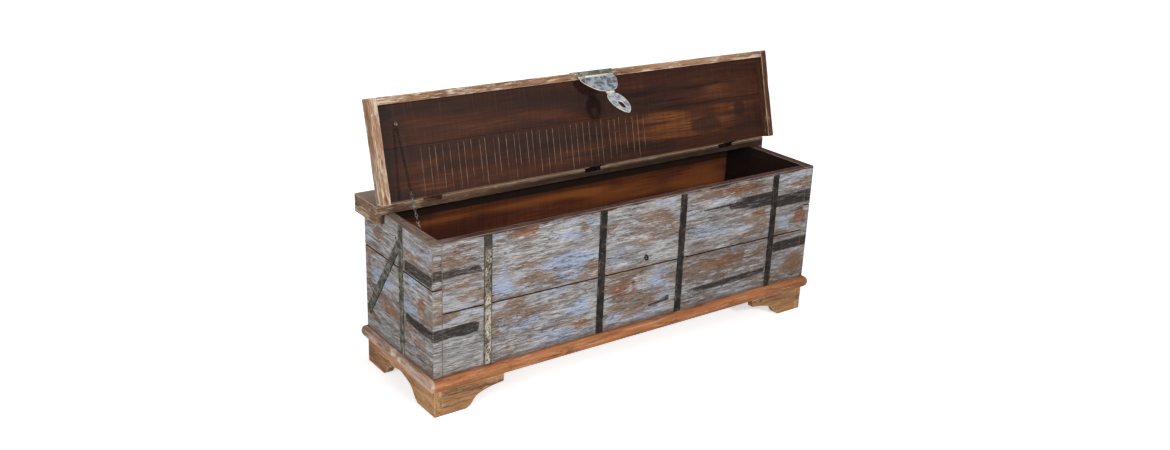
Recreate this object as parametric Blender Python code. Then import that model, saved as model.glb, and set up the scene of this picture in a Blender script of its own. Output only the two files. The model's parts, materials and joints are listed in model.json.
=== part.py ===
"""Painted wooden chest with an open tray lid, iron straps, a hinged hasp and a stay chain.

Metres, +Z up, +X along the chest, -Y is the front. The origin is the middle of the floor outline.
The lid is built closed and then turned open about its hinge pins.
"""

import math

import bmesh
import bpy
from mathutils import Matrix, Vector

# Driving dimensions
GAP = 0.0003
HALF_X = 0.600
HALF_Y = 0.1712
SIDE_T = 0.025
FRONT_T = 0.020
FOOT_TOP = 0.0660
BODY_BOTTOM = 0.0994
BODY_TOP = 0.432
FRONT_SEAM = 0.2525
FRONT_SEAM_SLOPE = -0.0108
BACK_SEAM = 0.262
SIDE_SEAM = 0.320
SEAM_GAP = 0.0024
BOARD_BEVEL = 0.0012
FLOOR_T = 0.017
PLINTH_OUT = 0.0125
PLINTH_IN = 0.037
FOOT_X = 0.5990
FOOT_Y = 0.1735
FOOT_T = 0.020
LID_TOP = 0.454
LID_T = 0.039
LID_BOARD_T = 0.016
LID_RIM_T = 0.019
LID_FRONT_IN = 0.1738
LID_FRONT_T = 0.018
LID_SIDE_IN = 0.6034
LID_BACK = 0.0558
LID_SEAM = -0.070
RAIL_FRONT = 0.0568
RAIL_BACK = 0.1747
RAIL_END_BOTTOM = 0.4085
PIN_Y = 0.0563
PIN_Z = 0.4577
OPEN_DEG = 105.0
HINGE_X = (-0.473, 0.003, 0.473)
HINGE_LEN = 0.050
HINGE_DROP = 0.009
HINGE_R = 0.0035
HINGE_PIN_R = 0.0015
STRAP_W = 0.021
STRAP_T = 0.0018
FRONT_STRAPS = (-0.456, -0.1284, 0.1284, 0.456)
SIDE_STRAP_Y = -0.020
HASP_X = 0.010
HASP_W = 0.112
HASP_T = 0.0018
BARREL_R = 0.0030
HASP_PIVOT_Y = -0.1790
HASP_PIVOT_Z = 0.4106
LEAF_LEN = 0.072
TONGUE_LEN = 0.088
HASP_REST_DEG = 203.0
SLOT_AT = 0.0545
SLOT_LEN = 0.030
SLOT_W = 0.0145
STAPLE_Z = 0.2790
CHAIN_LOW = (-0.5680, -0.0660, 0.4000)
CHAIN_HIGH_CLOSED = (-0.5580, -0.1262, 0.4280)
CHAIN_LOW_LEN = 0.118
CHAIN_R = 0.0027


def clear_file():
    for obj in list(bpy.data.objects):
        bpy.data.objects.remove(obj, do_unlink=True)


def material(name, color, roughness=0.7, metallic=0.0):
    mat = bpy.data.materials.new(name)
    mat.use_nodes = True
    shader = mat.node_tree.nodes["Principled BSDF"]
    shader.inputs["Base Color"].default_value = (*color, 1.0)
    shader.inputs["Roughness"].default_value = roughness
    shader.inputs["Metallic"].default_value = metallic
    return mat


def face_out(bm):
    bmesh.ops.recalc_face_normals(bm, faces=bm.faces)
    if bm.calc_volume(signed=True) < 0.0:
        bmesh.ops.reverse_faces(bm, faces=bm.faces)


def add_object(name, bm, mat, origin=(0.0, 0.0, 0.0), smooth=False):
    face_out(bm)
    shift = Vector(origin)
    for vert in bm.verts:
        vert.co -= shift
    mesh = bpy.data.meshes.new(name)
    bm.to_mesh(mesh)
    bm.free()
    for poly in mesh.polygons:
        poly.use_smooth = smooth
    mesh.materials.append(mat)
    obj = bpy.data.objects.new(name, mesh)
    obj.location = shift
    bpy.context.collection.objects.link(obj)
    return obj


def box_bm(x0, x1, y0, y1, z0, z1, bevel=0.0):
    bm = bmesh.new()
    bmesh.ops.create_cube(bm, size=1.0)
    for vert in bm.verts:
        vert.co.x = x0 if vert.co.x < 0 else x1
        vert.co.y = y0 if vert.co.y < 0 else y1
        vert.co.z = z0 if vert.co.z < 0 else z1
    if bevel > 0.0:
        bmesh.ops.bevel(bm, geom=bm.edges[:], offset=bevel, segments=1, affect="EDGES", clamp_overlap=True)
    return bm


def prism_bm(points, axis, low, high):
    """Extrudes a closed outline along an axis. Outline pairs are the two other axes in X, Y, Z order."""
    bm = bmesh.new()
    rings = []
    for depth in (low, high):
        ring = []
        for a, b in points:
            spot = {0: (depth, a, b), 1: (a, depth, b), 2: (a, b, depth)}[axis]
            ring.append(bm.verts.new(spot))
        rings.append(ring)
    bm.faces.new(rings[0])
    bm.faces.new(rings[1])
    count = len(points)
    for i in range(count):
        j = (i + 1) % count
        bm.faces.new((rings[0][i], rings[0][j], rings[1][j], rings[1][i]))
    return bm


def rod_bm(radius, axis, centre, low, high, sides=20):
    points = []
    for i in range(sides):
        angle = 2.0 * math.pi * i / sides
        points.append((centre[0] + radius * math.cos(angle), centre[1] + radius * math.sin(angle)))
    return prism_bm(points, axis, low, high)


def turn(bm, point, degrees):
    """Turns a mesh about the X axis through a point given as (y, z)."""
    centre = Vector((0.0, point[0], point[1]))
    move = Matrix.Translation(centre) @ Matrix.Rotation(math.radians(degrees), 4, "X")
    move = move @ Matrix.Translation(-centre)
    bmesh.ops.transform(bm, matrix=move, verts=bm.verts)
    return bm


def open_lid(bm):
    return turn(bm, (PIN_Y, PIN_Z), -OPEN_DEG)


def opened(y, z):
    """Gives the open place of a point of the closed lid."""
    angle = math.radians(-OPEN_DEG)
    dy = y - PIN_Y
    dz = z - PIN_Z
    out_y = PIN_Y + dy * math.cos(angle) - dz * math.sin(angle)
    out_z = PIN_Z + dy * math.sin(angle) + dz * math.cos(angle)
    return out_y, out_z


def combine(base, tools, operation):
    """Joins or cuts a mesh with other meshes by exact booleans and gives back one mesh."""
    face_out(base)
    mesh = bpy.data.meshes.new("work")
    base.to_mesh(mesh)
    base.free()
    work = bpy.data.objects.new("work", mesh)
    bpy.context.collection.objects.link(work)
    helpers = []
    for tool in tools:
        face_out(tool)
        tool_mesh = bpy.data.meshes.new("tool")
        tool.to_mesh(tool_mesh)
        tool.free()
        helper = bpy.data.objects.new("tool", tool_mesh)
        bpy.context.collection.objects.link(helper)
        helpers.append(helper)
        modifier = work.modifiers.new("cut", "BOOLEAN")
        modifier.operation = operation
        modifier.solver = "EXACT"
        modifier.object = helper
    bpy.context.view_layer.update()
    graph = bpy.context.evaluated_depsgraph_get()
    result = bmesh.new()
    result.from_mesh(work.evaluated_get(graph).to_mesh())
    for helper in helpers + [work]:
        bpy.data.objects.remove(helper, do_unlink=True)
    bmesh.ops.remove_doubles(result, verts=result.verts, dist=0.000001)
    return result


# Body

def board_heights(seam, upper):
    """Lowest and highest level of a wall board, above or below the seam."""
    if upper:
        return seam + SEAM_GAP / 2.0, BODY_TOP
    return BODY_BOTTOM + GAP, seam - SEAM_GAP / 2.0


def lean_seam(bm):
    """Slants a front board's edge along the open joint, which runs a little lower to the right."""
    for vert in bm.verts:
        if abs(vert.co.z - FRONT_SEAM) < 0.005:
            vert.co.z += FRONT_SEAM_SLOPE * vert.co.x
    return bm


def build_walls(mat, side_mat):
    x = HALF_X - SIDE_T - GAP
    y_in = HALF_Y - FRONT_T
    for name, upper in (("lower", False), ("upper", True)):
        f0, f1 = board_heights(FRONT_SEAM, upper)
        front = lean_seam(box_bm(-x, x, -HALF_Y, -y_in, f0, f1, BOARD_BEVEL))
        add_object("front_board_" + name, front, mat)
        b0, b1 = board_heights(BACK_SEAM, upper)
        add_object("back_board_" + name, box_bm(-x, x, y_in, HALF_Y, b0, b1, BOARD_BEVEL), mat)
        s0, s1 = board_heights(SIDE_SEAM, upper)
        left = box_bm(-HALF_X, -HALF_X + SIDE_T, -HALF_Y, HALF_Y, s0, s1, BOARD_BEVEL)
        add_object("left_board_" + name, left, side_mat)
        right = box_bm(HALF_X - SIDE_T, HALF_X, -HALF_Y, HALF_Y, s0, s1, BOARD_BEVEL)
        add_object("right_board_" + name, right, side_mat)


def build_floor(mat):
    x = HALF_X - SIDE_T - 0.001
    y = HALF_Y - FRONT_T - 0.001
    z0 = BODY_BOTTOM + GAP
    z1 = z0 + FLOOR_T
    add_object("floor_board_front", box_bm(-x, x, -y, -0.0006, z0, z1, 0.0008), mat)
    add_object("floor_board_back", box_bm(-x, x, 0.0006, y, z0, z1, 0.0008), mat)
    y_in = HALF_Y - PLINTH_IN - 0.0006
    for name, centre in (("left", -0.210), ("right", 0.210)):
        batten = box_bm(centre - 0.022, centre + 0.022, -y_in, y_in, FOOT_TOP + 0.003, BODY_BOTTOM, 0.001)
        add_object("floor_batten_" + name, batten, mat)


def plinth_profile():
    low = FOOT_TOP + GAP
    high = BODY_BOTTOM
    mid = (low + high) / 2.0
    points = [(-PLINTH_IN, high), (-PLINTH_IN, low)]
    reach = 0.011
    for i in range(11):
        angle = -math.pi / 2.0 + math.pi * i / 10.0
        out = PLINTH_OUT - reach + reach * math.cos(angle)
        points.append((out, mid + (high - low) / 2.0 * math.sin(angle)))
    return points


def mitred_bm(points, along_x, sign):
    bm = bmesh.new()
    rings = []
    for end in (-1.0, 1.0):
        ring = []
        for out, z in points:
            if along_x:
                ring.append(bm.verts.new((end * (HALF_X + out - GAP / 2.0), sign * (HALF_Y + out), z)))
            else:
                ring.append(bm.verts.new((sign * (HALF_X + out), end * (HALF_Y + out - GAP / 2.0), z)))
        rings.append(ring)
    bm.faces.new(rings[0])
    bm.faces.new(rings[1])
    count = len(points)
    for i in range(count):
        j = (i + 1) % count
        bm.faces.new((rings[0][i], rings[0][j], rings[1][j], rings[1][i]))
    return bm


def build_plinth(mat):
    points = plinth_profile()
    add_object("plinth_front", mitred_bm(points, True, -1.0), mat)
    add_object("plinth_back", mitred_bm(points, True, 1.0), mat)
    add_object("plinth_left", mitred_bm(points, False, -1.0), mat)
    add_object("plinth_right", mitred_bm(points, False, 1.0), mat)


def bracket_outline(outer):
    """Outline of a bracket foot from its outer end at zero, inwards along the board."""
    top = FOOT_TOP
    points = [(outer, 0.0), (0.085, 0.0), (0.088, 0.0022), (0.0955, 0.0065)]
    points += [(0.101, 0.0125), (0.1055, 0.0195), (0.113, 0.0268), (0.124, 0.0325)]
    points += [(0.139, 0.0372), (0.156, 0.0410), (0.176, 0.0437), (0.189, 0.0450), (0.190, top)]
    points.append((outer, top))
    return points


def apron_outline():
    top = FOOT_TOP
    half = FOOT_Y
    points = [(-half, 0.0), (-half + 0.085, 0.0)]
    arch = [(0.088, 0.0022), (0.0955, 0.0065), (0.101, 0.0125), (0.1065, 0.0205)]
    arch += [(0.115, 0.0290), (0.127, 0.0360), (0.142, 0.0412), (0.158, 0.0448)]
    points += [(-half + a, z) for a, z in arch]
    points.append((0.0, 0.0475))
    points += [(half - a, z) for a, z in reversed(arch)]
    points += [(half - 0.085, 0.0), (half, 0.0), (half, top), (-half, top)]
    return points


def build_feet(mat, block_mat):
    inset = FOOT_T + GAP
    for face, sign_y in (("front", -1.0), ("back", 1.0)):
        for side, sign_x in (("left", -1.0), ("right", 1.0)):
            outline = [(sign_x * (FOOT_X - a), z) for a, z in bracket_outline(inset)]
            y_out = sign_y * FOOT_Y
            y_in = sign_y * (FOOT_Y - FOOT_T)
            bm = prism_bm(outline, 1, min(y_out, y_in), max(y_out, y_in))
            add_object("foot_" + face + "_" + side, bm, mat)
            bx = sorted((sign_x * (FOOT_X - inset), sign_x * (FOOT_X - inset - 0.034)))
            by = sorted((sign_y * (FOOT_Y - inset), sign_y * (FOOT_Y - inset - 0.034)))
            block = box_bm(bx[0], bx[1], by[0], by[1], 0.006, FOOT_TOP, 0.0015)
            add_object("foot_block_" + face + "_" + side, block, block_mat)
    for side, sign_x in (("left", -1.0), ("right", 1.0)):
        xs = sorted((sign_x * FOOT_X, sign_x * (FOOT_X - FOOT_T)))
        add_object("foot_side_" + side, prism_bm(apron_outline(), 0, xs[0], xs[1]), mat)


# Iron straps

def build_straps(mat):
    z0 = BODY_BOTTOM + 0.0012
    z1 = BODY_TOP - 0.004
    half = STRAP_W / 2.0
    y1 = -HALF_Y - GAP
    for number, x in enumerate(FRONT_STRAPS, 1):
        strap = box_bm(x - half, x + half, y1 - STRAP_T, y1, z0, z1, 0.0005)
        add_object("strap_front_%d" % number, strap, mat)
    for side, sign in (("left", -1.0), ("right", 1.0)):
        xs = sorted((sign * (HALF_X + GAP), sign * (HALF_X + GAP + STRAP_T)))
        strap = box_bm(xs[0], xs[1], SIDE_STRAP_Y - half, SIDE_STRAP_Y + half, z0, z1, 0.0005)
        add_object("strap_" + side + "_upright", strap, mat)
    edge = SIDE_STRAP_Y + half + 0.0006
    quad = [(edge, 0.3920), (edge, 0.3580), (0.1475, 0.1430), (0.1648, 0.1550)]
    xs = (-HALF_X - GAP - STRAP_T, -HALF_X - GAP)
    add_object("strap_left_diagonal", prism_bm(quad, 0, xs[0], xs[1]), mat)


# Fixed rail behind the lid

def hinge_pocket(x, y0, y1):
    half = HINGE_LEN / 2.0 + 0.0004
    return box_bm(x - half, x + half, y0, y1, LID_TOP - HINGE_DROP - 0.0006, LID_TOP + 0.004)


def build_rail(mat):
    x = LID_SIDE_IN + LID_RIM_T
    board = box_bm(-x, x, RAIL_FRONT, RAIL_BACK, BODY_TOP + GAP, LID_TOP, 0.0012)
    pockets = [hinge_pocket(c, RAIL_FRONT - 0.004, RAIL_FRONT + 0.0022) for c in HINGE_X]
    add_object("rail_board", combine(board, pockets, "DIFFERENCE"), mat)
    for side, sign in (("left", -1.0), ("right", 1.0)):
        xs = sorted((sign * LID_SIDE_IN, sign * x))
        block = box_bm(xs[0], xs[1], RAIL_FRONT, RAIL_BACK, RAIL_END_BOTTOM, BODY_TOP, 0.0012)
        add_object("rail_end_" + side, block, mat)


# Lid

def build_lid(board_mat, rim_mat):
    origin = (0.0, PIN_Y, PIN_Z)
    x_in = LID_SIDE_IN
    x_out = LID_SIDE_IN + LID_RIM_T
    y_front = -LID_FRONT_IN - LID_FRONT_T
    z0 = LID_TOP - LID_BOARD_T
    front = box_bm(-x_in + GAP, x_in - GAP, -LID_FRONT_IN + GAP, LID_SEAM - 0.0004, z0, LID_TOP, 0.0008)
    add_object("lid_board_front", open_lid(front), board_mat, origin)
    rear = box_bm(-x_in + GAP, x_in - GAP, LID_SEAM + 0.0004, LID_BACK, z0, LID_TOP, 0.0008)
    pockets = [lid_pocket(c) for c in HINGE_X]
    rear = combine(rear, pockets, "DIFFERENCE")
    add_object("lid_board_rear", open_lid(rear), board_mat, origin)
    z_low = LID_TOP - LID_T
    rim = box_bm(-x_in + GAP, x_in - GAP, y_front, -LID_FRONT_IN, z_low, LID_TOP, 0.0012)
    add_object("lid_rim_front", open_lid(rim), rim_mat, origin)
    for side, sign in (("left", -1.0), ("right", 1.0)):
        xs = sorted((sign * x_in, sign * x_out))
        rim = box_bm(xs[0], xs[1], y_front, LID_BACK, z_low, LID_TOP, 0.0012)
        add_object("lid_rim_" + side, open_lid(rim), rim_mat, origin)


def lid_pocket(x):
    half = HINGE_LEN / 2.0 + 0.0004
    y1 = LID_BACK + 0.004
    return box_bm(x - half, x + half, LID_BACK - 0.0022, y1, LID_TOP - LID_BOARD_T - 0.004, LID_TOP + 0.004)


# Butt hinges

def knuckle_bm(x0, x1):
    return rod_bm(HINGE_R, 0, (PIN_Y, PIN_Z), x0, x1)


def hinge_leaf(x, y0, y1, drop, spans):
    half = HINGE_LEN / 2.0
    plate = box_bm(x - half, x + half, y0, y1, LID_TOP - drop, PIN_Z - 0.0008)
    barrels = [knuckle_bm(x + a, x + b) for a, b in spans]
    body = combine(plate, barrels, "UNION")
    clear_r = HINGE_PIN_R + GAP
    cuts = [rod_bm(clear_r, 0, (PIN_Y, PIN_Z), x - half - 0.002, x + half + 0.002)]
    return body, cuts


def build_hinges(mat):
    origin = (0.0, PIN_Y, PIN_Z)
    third = HINGE_LEN / 3.0
    half = HINGE_LEN / 2.0
    outer = ((-half + GAP, -half + third - 0.0002), (half - third + 0.0002, half - GAP))
    inner = ((-third / 2.0 + 0.0002, third / 2.0 - 0.0002),)
    for number, x in enumerate(HINGE_X, 1):
        body, cuts = hinge_leaf(x, RAIL_FRONT + 0.0002, RAIL_FRONT + 0.0019, HINGE_DROP, outer)
        span = third / 2.0 + 0.0002
        notch = box_bm(x - span, x + span, PIN_Y - 0.006, PIN_Y + 0.0042, LID_TOP - 0.0002, PIN_Z + 0.006)
        add_object("hinge_%d_rail_leaf" % number, combine(body, cuts + [notch], "DIFFERENCE"), mat)
        drop = LID_BOARD_T - 0.0006
        body, cuts = hinge_leaf(x, LID_BACK - 0.0019, LID_BACK - 0.0002, drop, inner)
        span = third / 2.0 - 0.0002
        for a, b in ((x - half - 0.001, x - span), (x + span, x + half + 0.001)):
            cuts.append(box_bm(a, b, PIN_Y - 0.0042, PIN_Y + 0.006, LID_TOP - 0.0002, PIN_Z + 0.006))
        leaf = combine(body, cuts, "DIFFERENCE")
        add_object("hinge_%d_lid_leaf" % number, open_lid(leaf), mat, origin)
        pin = rod_bm(HINGE_PIN_R, 0, (PIN_Y, PIN_Z), x - half - 0.0012, x + half + 0.0012)
        add_object("hinge_%d_pin" % number, pin, mat, (x, PIN_Y, PIN_Z), True)


# Hasp

def hasp_frame(distance, offset, origin, degrees):
    """Place of a point on a hanging plate: distance along it, offset to its outer side."""
    angle = math.radians(degrees)
    y = origin[0] + distance * math.cos(angle) - offset * math.sin(angle)
    z = origin[1] + distance * math.sin(angle) + offset * math.cos(angle)
    return y, z


def plate_bm(outline, origin, degrees, barrels, cuts):
    """A flat plate from an outline of (x, distance) pairs with barrels across it, hung at an angle."""
    half = HASP_T / 2.0
    base = prism_bm(outline, 2, -half, half)
    tools = [rod_bm(BARREL_R, 0, (d, 0.0), a, b) for a, b, d in barrels]
    base = combine(base, tools, "UNION")
    if cuts:
        base = combine(base, cuts, "DIFFERENCE")
    for vert in base.verts:
        y, z = hasp_frame(vert.co.y, vert.co.z, origin, degrees)
        vert.co = Vector((HASP_X + vert.co.x, y, z))
    return base


def leaf_outline(span):
    right = [(span, 0.0), (span, 0.0045), (0.054, 0.0047), (0.0555, 0.014), (0.052, 0.026)]
    right += [(0.045, 0.038), (0.0375, 0.049), (0.031, 0.057), (0.0235, 0.062), (0.0155, 0.0635)]
    right += [(0.0112, 0.0655), (0.0112, LEAF_LEN), (0.0048, LEAF_LEN), (0.0046, 0.0645)]
    left = [(-x, d) for x, d in reversed(right)]
    return right + left


def tongue_outline():
    right = [(0.0039, 0.0), (0.0039, 0.0060), (0.0115, 0.0066), (0.0165, 0.010), (0.0215, 0.019)]
    right += [(0.0240, 0.031), (0.0245, 0.043), (0.0225, 0.056), (0.0185, 0.068)]
    right += [(0.0125, 0.078), (0.0065, 0.0845), (0.0, TONGUE_LEN)]
    left = [(-x, d) for x, d in reversed(right[:-1])]
    return right + left


def slot_outline():
    points = []
    r = SLOT_W / 2.0
    straight = SLOT_LEN / 2.0 - r
    for i in range(9):
        angle = math.pi * i / 8.0
        points.append((r * math.cos(angle), SLOT_AT + straight + r * math.sin(angle)))
    for i in range(9):
        angle = math.pi + math.pi * i / 8.0
        points.append((r * math.cos(angle), SLOT_AT - straight + r * math.sin(angle)))
    return points


def build_hasp(mat, pin_mat, iron):
    origin_lid = (0.0, PIN_Y, PIN_Z)
    y_front = -LID_FRONT_IN - LID_FRONT_T
    z_low = LID_TOP - LID_T
    half = HASP_W / 2.0
    out_y = y_front - GAP
    out_z = z_low - GAP
    t = HASP_T
    reach = HASP_PIVOT_Y + 0.0012
    bend = [(out_y, 0.4470), (out_y - t, 0.4470), (out_y - t, out_z - t), (reach, out_z - t)]
    bend += [(reach, out_z), (out_y, out_z)]
    plate = prism_bm(bend, 0, HASP_X - half, HASP_X + half)
    barrels = []
    for a, b in ((-half + GAP, -half + 0.022), (half - 0.022, half - GAP)):
        barrels.append(rod_bm(BARREL_R, 0, (HASP_PIVOT_Y, HASP_PIVOT_Z), HASP_X + a, HASP_X + b))
    plate = combine(plate, barrels, "UNION")
    hole = rod_bm(0.0015, 0, (HASP_PIVOT_Y, HASP_PIVOT_Z), HASP_X - half - 0.002, HASP_X + half + 0.002)
    span = half - 0.0222
    y0 = HASP_PIVOT_Y - 0.0040
    notch = box_bm(HASP_X - span, HASP_X + span, y0, y0 + 0.02, out_z - t - 0.01, out_z + 0.0001)
    plate = combine(plate, [hole, notch], "DIFFERENCE")
    add_object("hasp_plate", open_lid(plate), mat, origin_lid)

    pivot = opened(HASP_PIVOT_Y, HASP_PIVOT_Z)
    pin = rod_bm(0.0012, 0, pivot, HASP_X - half - 0.0015, HASP_X + half + 0.0015)
    add_object("hasp_pin", pin, iron, (HASP_X, *pivot), True)

    span = half - 0.0225
    barrels = [(-span, span, 0.0), (-0.0115, -0.0045, LEAF_LEN), (0.0045, 0.0115, LEAF_LEN)]
    cuts = [rod_bm(0.0015, 0, (0.0, 0.0), -0.07, 0.07)]
    leaf = plate_bm(leaf_outline(span - GAP), pivot, HASP_REST_DEG, barrels, cuts)
    add_object("hasp_leaf", leaf, mat, (HASP_X, *pivot))

    knuckle = hasp_frame(LEAF_LEN, 0.0, pivot, HASP_REST_DEG)
    cuts = [prism_bm(slot_outline(), 2, -0.005, 0.005)]
    barrels = [(-0.0042, 0.0042, 0.0)]
    tongue = plate_bm(tongue_outline(), knuckle, HASP_REST_DEG, barrels, cuts)
    add_object("hasp_tongue", tongue, mat, (HASP_X, *knuckle))

    staple_y = -HALF_Y - GAP
    points = []
    for i in range(13):
        angle = math.pi / 2.0 + math.pi * i / 12.0
        points.append((staple_y - 0.0045 + 0.0075 * math.cos(angle), STAPLE_Z + 0.0075 * math.sin(angle)))
    for i in range(13):
        angle = -math.pi / 2.0 - math.pi * i / 12.0
        points.append((staple_y - 0.0045 + 0.0042 * math.cos(angle), STAPLE_Z + 0.0042 * math.sin(angle)))
    inner = [(staple_y, STAPLE_Z + 0.0042)]
    outer = [(staple_y, STAPLE_Z + 0.0075)]
    loop = outer + points[:13] + [(staple_y, STAPLE_Z - 0.0075), (staple_y, STAPLE_Z - 0.0042)]
    loop = loop + points[13:] + inner
    add_object("hasp_staple", prism_bm(loop, 0, HASP_X - 0.0016, HASP_X + 0.0016), iron)


# Stay chain

def ring_bm(major, minor, centre, steps=16, sides=8):
    """A round eye whose hole faces along X."""
    bm = bmesh.new()
    rings = []
    for i in range(steps):
        turn_angle = 2.0 * math.pi * i / steps
        ring = []
        for j in range(sides):
            side_angle = 2.0 * math.pi * j / sides
            r = major + minor * math.cos(side_angle)
            x = centre[0] + minor * math.sin(side_angle)
            spot = (x, centre[1] + r * math.cos(turn_angle), centre[2] + r * math.sin(turn_angle))
            ring.append(bm.verts.new(spot))
        rings.append(ring)
    for i in range(steps):
        k = (i + 1) % steps
        for j in range(sides):
            m = (j + 1) % sides
            bm.faces.new((rings[i][j], rings[k][j], rings[k][m], rings[i][m]))
    return bm


def twisted_bm(start, end, trim_start, trim_end, pitch=0.016):
    """A twisted flat bar between two points, standing in for a run of twisted links."""
    a = Vector(start)
    b = Vector(end)
    along = (b - a).normalized()
    first = a + along * trim_start
    last = b - along * trim_end
    side = along.cross(Vector((1.0, 0.0, 0.0))).normalized()
    other = along.cross(side)
    length = (last - first).length
    steps = max(4, int(length / 0.004))
    bm = bmesh.new()
    rings = []
    for i in range(steps + 1):
        angle = 2.0 * math.pi * (length * i / steps) / pitch
        u = side * math.cos(angle) + other * math.sin(angle)
        v = other * math.cos(angle) - side * math.sin(angle)
        spot = first + (last - first) * (i / steps)
        ring = []
        for p, q in ((1, 1), (-1, 1), (-1, -1), (1, -1)):
            ring.append(bm.verts.new(spot + u * (CHAIN_R * p * 0.9) + v * (0.0011 * q)))
        rings.append(ring)
    for i in range(steps):
        for j in range(4):
            m = (j + 1) % 4
            bm.faces.new((rings[i][j], rings[i + 1][j], rings[i + 1][m], rings[i][m]))
    bm.faces.new(rings[0])
    bm.faces.new(rings[-1])
    return bm


def build_chain(mat):
    low = CHAIN_LOW
    high = (CHAIN_HIGH_CLOSED[0], *opened(CHAIN_HIGH_CLOSED[1], CHAIN_HIGH_CLOSED[2]))
    wall = -HALF_X + SIDE_T + GAP
    eye = ring_bm(0.0048, 0.0013, low)
    shank = rod_bm(0.0016, 0, (low[1], low[2] - 0.0048), wall, low[0], 10)
    add_object("chain_eye_chest", combine(eye, [shank], "UNION"), mat)

    top = LID_TOP - LID_BOARD_T - GAP
    closed = CHAIN_HIGH_CLOSED
    eye = ring_bm(0.0048, 0.0013, closed)
    shank = rod_bm(0.0016, 2, (closed[0], closed[1]), closed[2] + 0.0040, top, 10)
    eye = open_lid(combine(eye, [shank], "UNION"))
    add_object("chain_eye_lid", eye, mat, (0.0, PIN_Y, PIN_Z))

    a = Vector(low)
    b = Vector(high)
    share = CHAIN_LOW_LEN / (b - a).length
    middle = a.lerp(b, share)
    low_end = (low[0] + 0.0010, middle.y, middle.z)
    high_end = (high[0] - 0.0012, middle.y, middle.z)
    add_object("chain_lower", twisted_bm(low, low_end, 0.0068, 0.001), mat, low)
    add_object("chain_upper", twisted_bm(high, high_end, 0.0068, 0.001), mat, high)


def main():
    clear_file()
    paint = material("painted_wood", (0.50, 0.50, 0.50), 0.8)
    paint_side = material("painted_wood_side", (0.46, 0.46, 0.45), 0.8)
    raw = material("bare_wood", (0.26, 0.13, 0.07), 0.75)
    plinth = material("plinth_wood", (0.27, 0.14, 0.08), 0.7)
    foot = material("foot_wood", (0.36, 0.22, 0.12), 0.75)
    rim = material("rim_wood", (0.42, 0.29, 0.22), 0.75)
    lid = material("lid_wood", (0.15, 0.06, 0.035), 0.6)
    rail = material("rail_wood", (0.32, 0.21, 0.15), 0.75)
    iron = material("strap_iron", (0.09, 0.08, 0.07), 0.6, 0.7)
    black = material("hinge_iron", (0.03, 0.03, 0.03), 0.55, 0.8)
    grey = material("hasp_metal", (0.55, 0.56, 0.58), 0.45, 0.85)
    chain = material("chain_iron", (0.12, 0.10, 0.09), 0.5, 0.85)
    build_walls(paint, paint_side)
    build_floor(raw)
    build_plinth(plinth)
    build_feet(foot, raw)
    build_straps(iron)
    build_rail(rail)
    build_lid(lid, rim)
    build_hinges(black)
    build_hasp(grey, black, black)
    build_chain(chain)


main()
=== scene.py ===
"""Looks of a worn painted chest: its boards, straps, mouldings, hasp and chain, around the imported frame."""

import json
import math

import bmesh
import bpy
from mathutils import Matrix, Vector, noise


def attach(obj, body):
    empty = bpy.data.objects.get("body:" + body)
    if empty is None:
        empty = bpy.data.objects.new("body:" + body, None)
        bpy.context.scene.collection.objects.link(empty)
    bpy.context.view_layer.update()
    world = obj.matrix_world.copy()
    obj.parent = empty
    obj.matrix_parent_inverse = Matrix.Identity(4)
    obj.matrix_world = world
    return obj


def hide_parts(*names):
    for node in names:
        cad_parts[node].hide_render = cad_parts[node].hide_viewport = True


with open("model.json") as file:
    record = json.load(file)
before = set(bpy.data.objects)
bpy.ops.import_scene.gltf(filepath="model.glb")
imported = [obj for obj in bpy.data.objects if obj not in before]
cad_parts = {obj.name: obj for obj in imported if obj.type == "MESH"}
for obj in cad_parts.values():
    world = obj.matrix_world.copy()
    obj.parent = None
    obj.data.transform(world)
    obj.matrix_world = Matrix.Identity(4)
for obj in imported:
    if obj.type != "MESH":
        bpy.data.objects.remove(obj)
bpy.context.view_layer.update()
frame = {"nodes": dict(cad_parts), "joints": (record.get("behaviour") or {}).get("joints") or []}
NODES = frame["nodes"]
JOINTS = {joint["name"]: joint for joint in frame["joints"]}
MM = 0.001

# The lid is shaped as if closed, then turned open about its hinge
PIN = Vector(JOINTS["lid_hinge"]["pos_m"])
OPEN_ANGLE = math.radians(-JOINTS["lid_hinge"]["range_deg"][1])
LID_OPEN = Matrix.Translation(PIN) @ Matrix.Rotation(OPEN_ANGLE, 4, "X") @ Matrix.Translation(-PIN)
LID_CLOSE = LID_OPEN.inverted()
UPRIGHT = Matrix.Identity(4)

STEP = 8 * MM
MARGIN = 5 * MM
ARC_POINTS = 4
SKIN = 3 * MM
NO_BAND = -30.0
PAST_STREAKS = -9.0
HINGE_POCKET = 2.2 * MM
KERF_PITCH = 19.6 * MM
KERF_SLANT = -0.025
KERF_START = -504 * MM
KERF_END = 168 * MM
KERF_TOP = 122 * MM


# Measures taken from the frame

def node_box(node, back=UPRIGHT):
    """Lowest and highest corner of a CAD node, after turning it back to where it was shaped."""
    points = [back @ vert.co for vert in NODES[node].data.vertices]
    low = Vector([min(p[i] for p in points) for i in range(3)])
    high = Vector([max(p[i] for p in points) for i in range(3)])
    return low, high


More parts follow.
